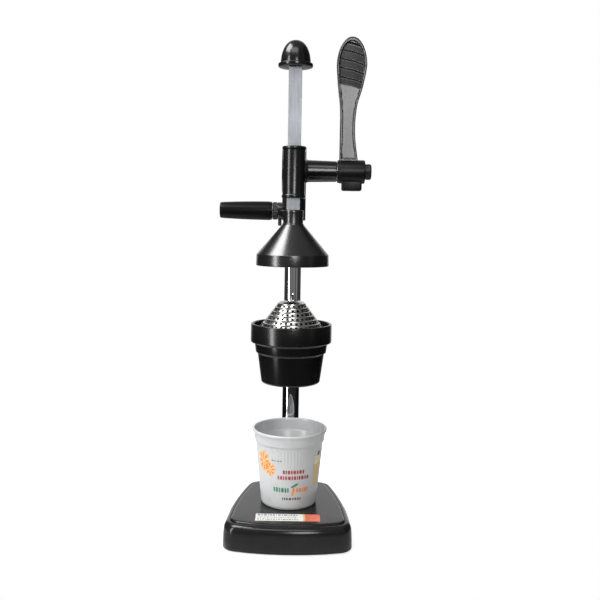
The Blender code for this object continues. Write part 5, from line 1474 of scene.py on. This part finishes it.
class PRESS_OT_head(PressOperator, bpy.types.Operator):
    """Model the head casting and finish the drive inside it"""
    bl_idname = "press.head"
    bl_label = "Head"

    def make(self, scene, finish):
        make_head(finish["enamel"], scene.press_sizes)
        dress("gear_cover", finish["enamel"], 0.0003)
        dress("pinion_gear", finish["gear"])
        dress("pinion_key", finish["steel"], 0.0001)
        dress("pinion_shaft", finish["steel"], 0.0003)
        for name in ("shaft_bush_inner", "shaft_bush_outer"):
            dress(name, finish["bronze"], 0.0002)
        for name in ("head_set_screw_upper", "head_set_screw_lower"):
            dress(name, finish["zinc"], 0.0002)
        for index in range(1, 4):
            dress(f"cover_screw_{index}", finish["zinc"], 0.0001)


class PRESS_OT_lever(PressOperator, bpy.types.Operator):
    """Model the lever and its end bolt"""
    bl_idname = "press.lever"
    bl_label = "Lever"

    def make(self, scene, finish):
        make_lever(finish["lever"], finish["hub"], scene.press_sizes)
        make_lever_bolt(finish["dark_steel"])
        dress("hub_washer", finish["steel"], 0.0001)
        dress("bolt_washer", finish["zinc"], 0.0001)
        dress("hub_grub_screw", finish["dark_steel"], 0.0002)


class PRESS_OT_handle(PressOperator, bpy.types.Operator):
    """Model the steady handle and finish its fixings"""
    bl_idname = "press.handle"
    bl_label = "Side handle"

    def make(self, scene, finish):
        make_grip(finish["grip"])
        make_ring_nut(finish["dark_steel"])
        dress("handle_stud", finish["steel"], 0.0003)
        dress("handle_washer", finish["steel"], 0.0001)
        dress("handle_set_screw", finish["dark_steel"], 0.0004)


class PRESS_PT_panel(bpy.types.Panel):
    """Lists the steps and the settings in the sidebar"""
    bl_idname = "PRESS_PT_panel"
    bl_label = "Citrus Press"
    bl_space_type = "VIEW_3D"
    bl_region_type = "UI"
    bl_category = "Citrus Press"

    def draw(self, context):
        layout = self.layout
        for step in STEPS:
            layout.operator(step.bl_idname)
        for group in (context.scene.press_sizes, context.scene.press_colours, context.scene.press_stage):
            box = layout.box()
            for name in group.__annotations__:
                box.prop(group, name)


STEPS = (PRESS_OT_stage, PRESS_OT_base, PRESS_OT_pillar, PRESS_OT_cup, PRESS_OT_bowl, PRESS_OT_strainer,
         PRESS_OT_bell, PRESS_OT_rack, PRESS_OT_head, PRESS_OT_lever, PRESS_OT_handle)
GROUPS = (PressSizes, PressColours, PressStage)


def register():
    for item in GROUPS + STEPS + (PRESS_PT_panel,):
        bpy.utils.register_class(item)
    bpy.types.Scene.press_sizes = PointerProperty(type=PressSizes)
    bpy.types.Scene.press_colours = PointerProperty(type=PressColours)
    bpy.types.Scene.press_stage = PointerProperty(type=PressStage)


def unregister():
    del bpy.types.Scene.press_stage
    del bpy.types.Scene.press_colours
    del bpy.types.Scene.press_sizes
    for item in reversed(GROUPS + STEPS + (PRESS_PT_panel,)):
        bpy.utils.unregister_class(item)


def main():
    register()
    for step in STEPS:
        group, name = step.bl_idname.split(".")
        getattr(getattr(bpy.ops, group), name)()
    bpy.context.view_layer.update()


if __name__ == "__main__":
    main()
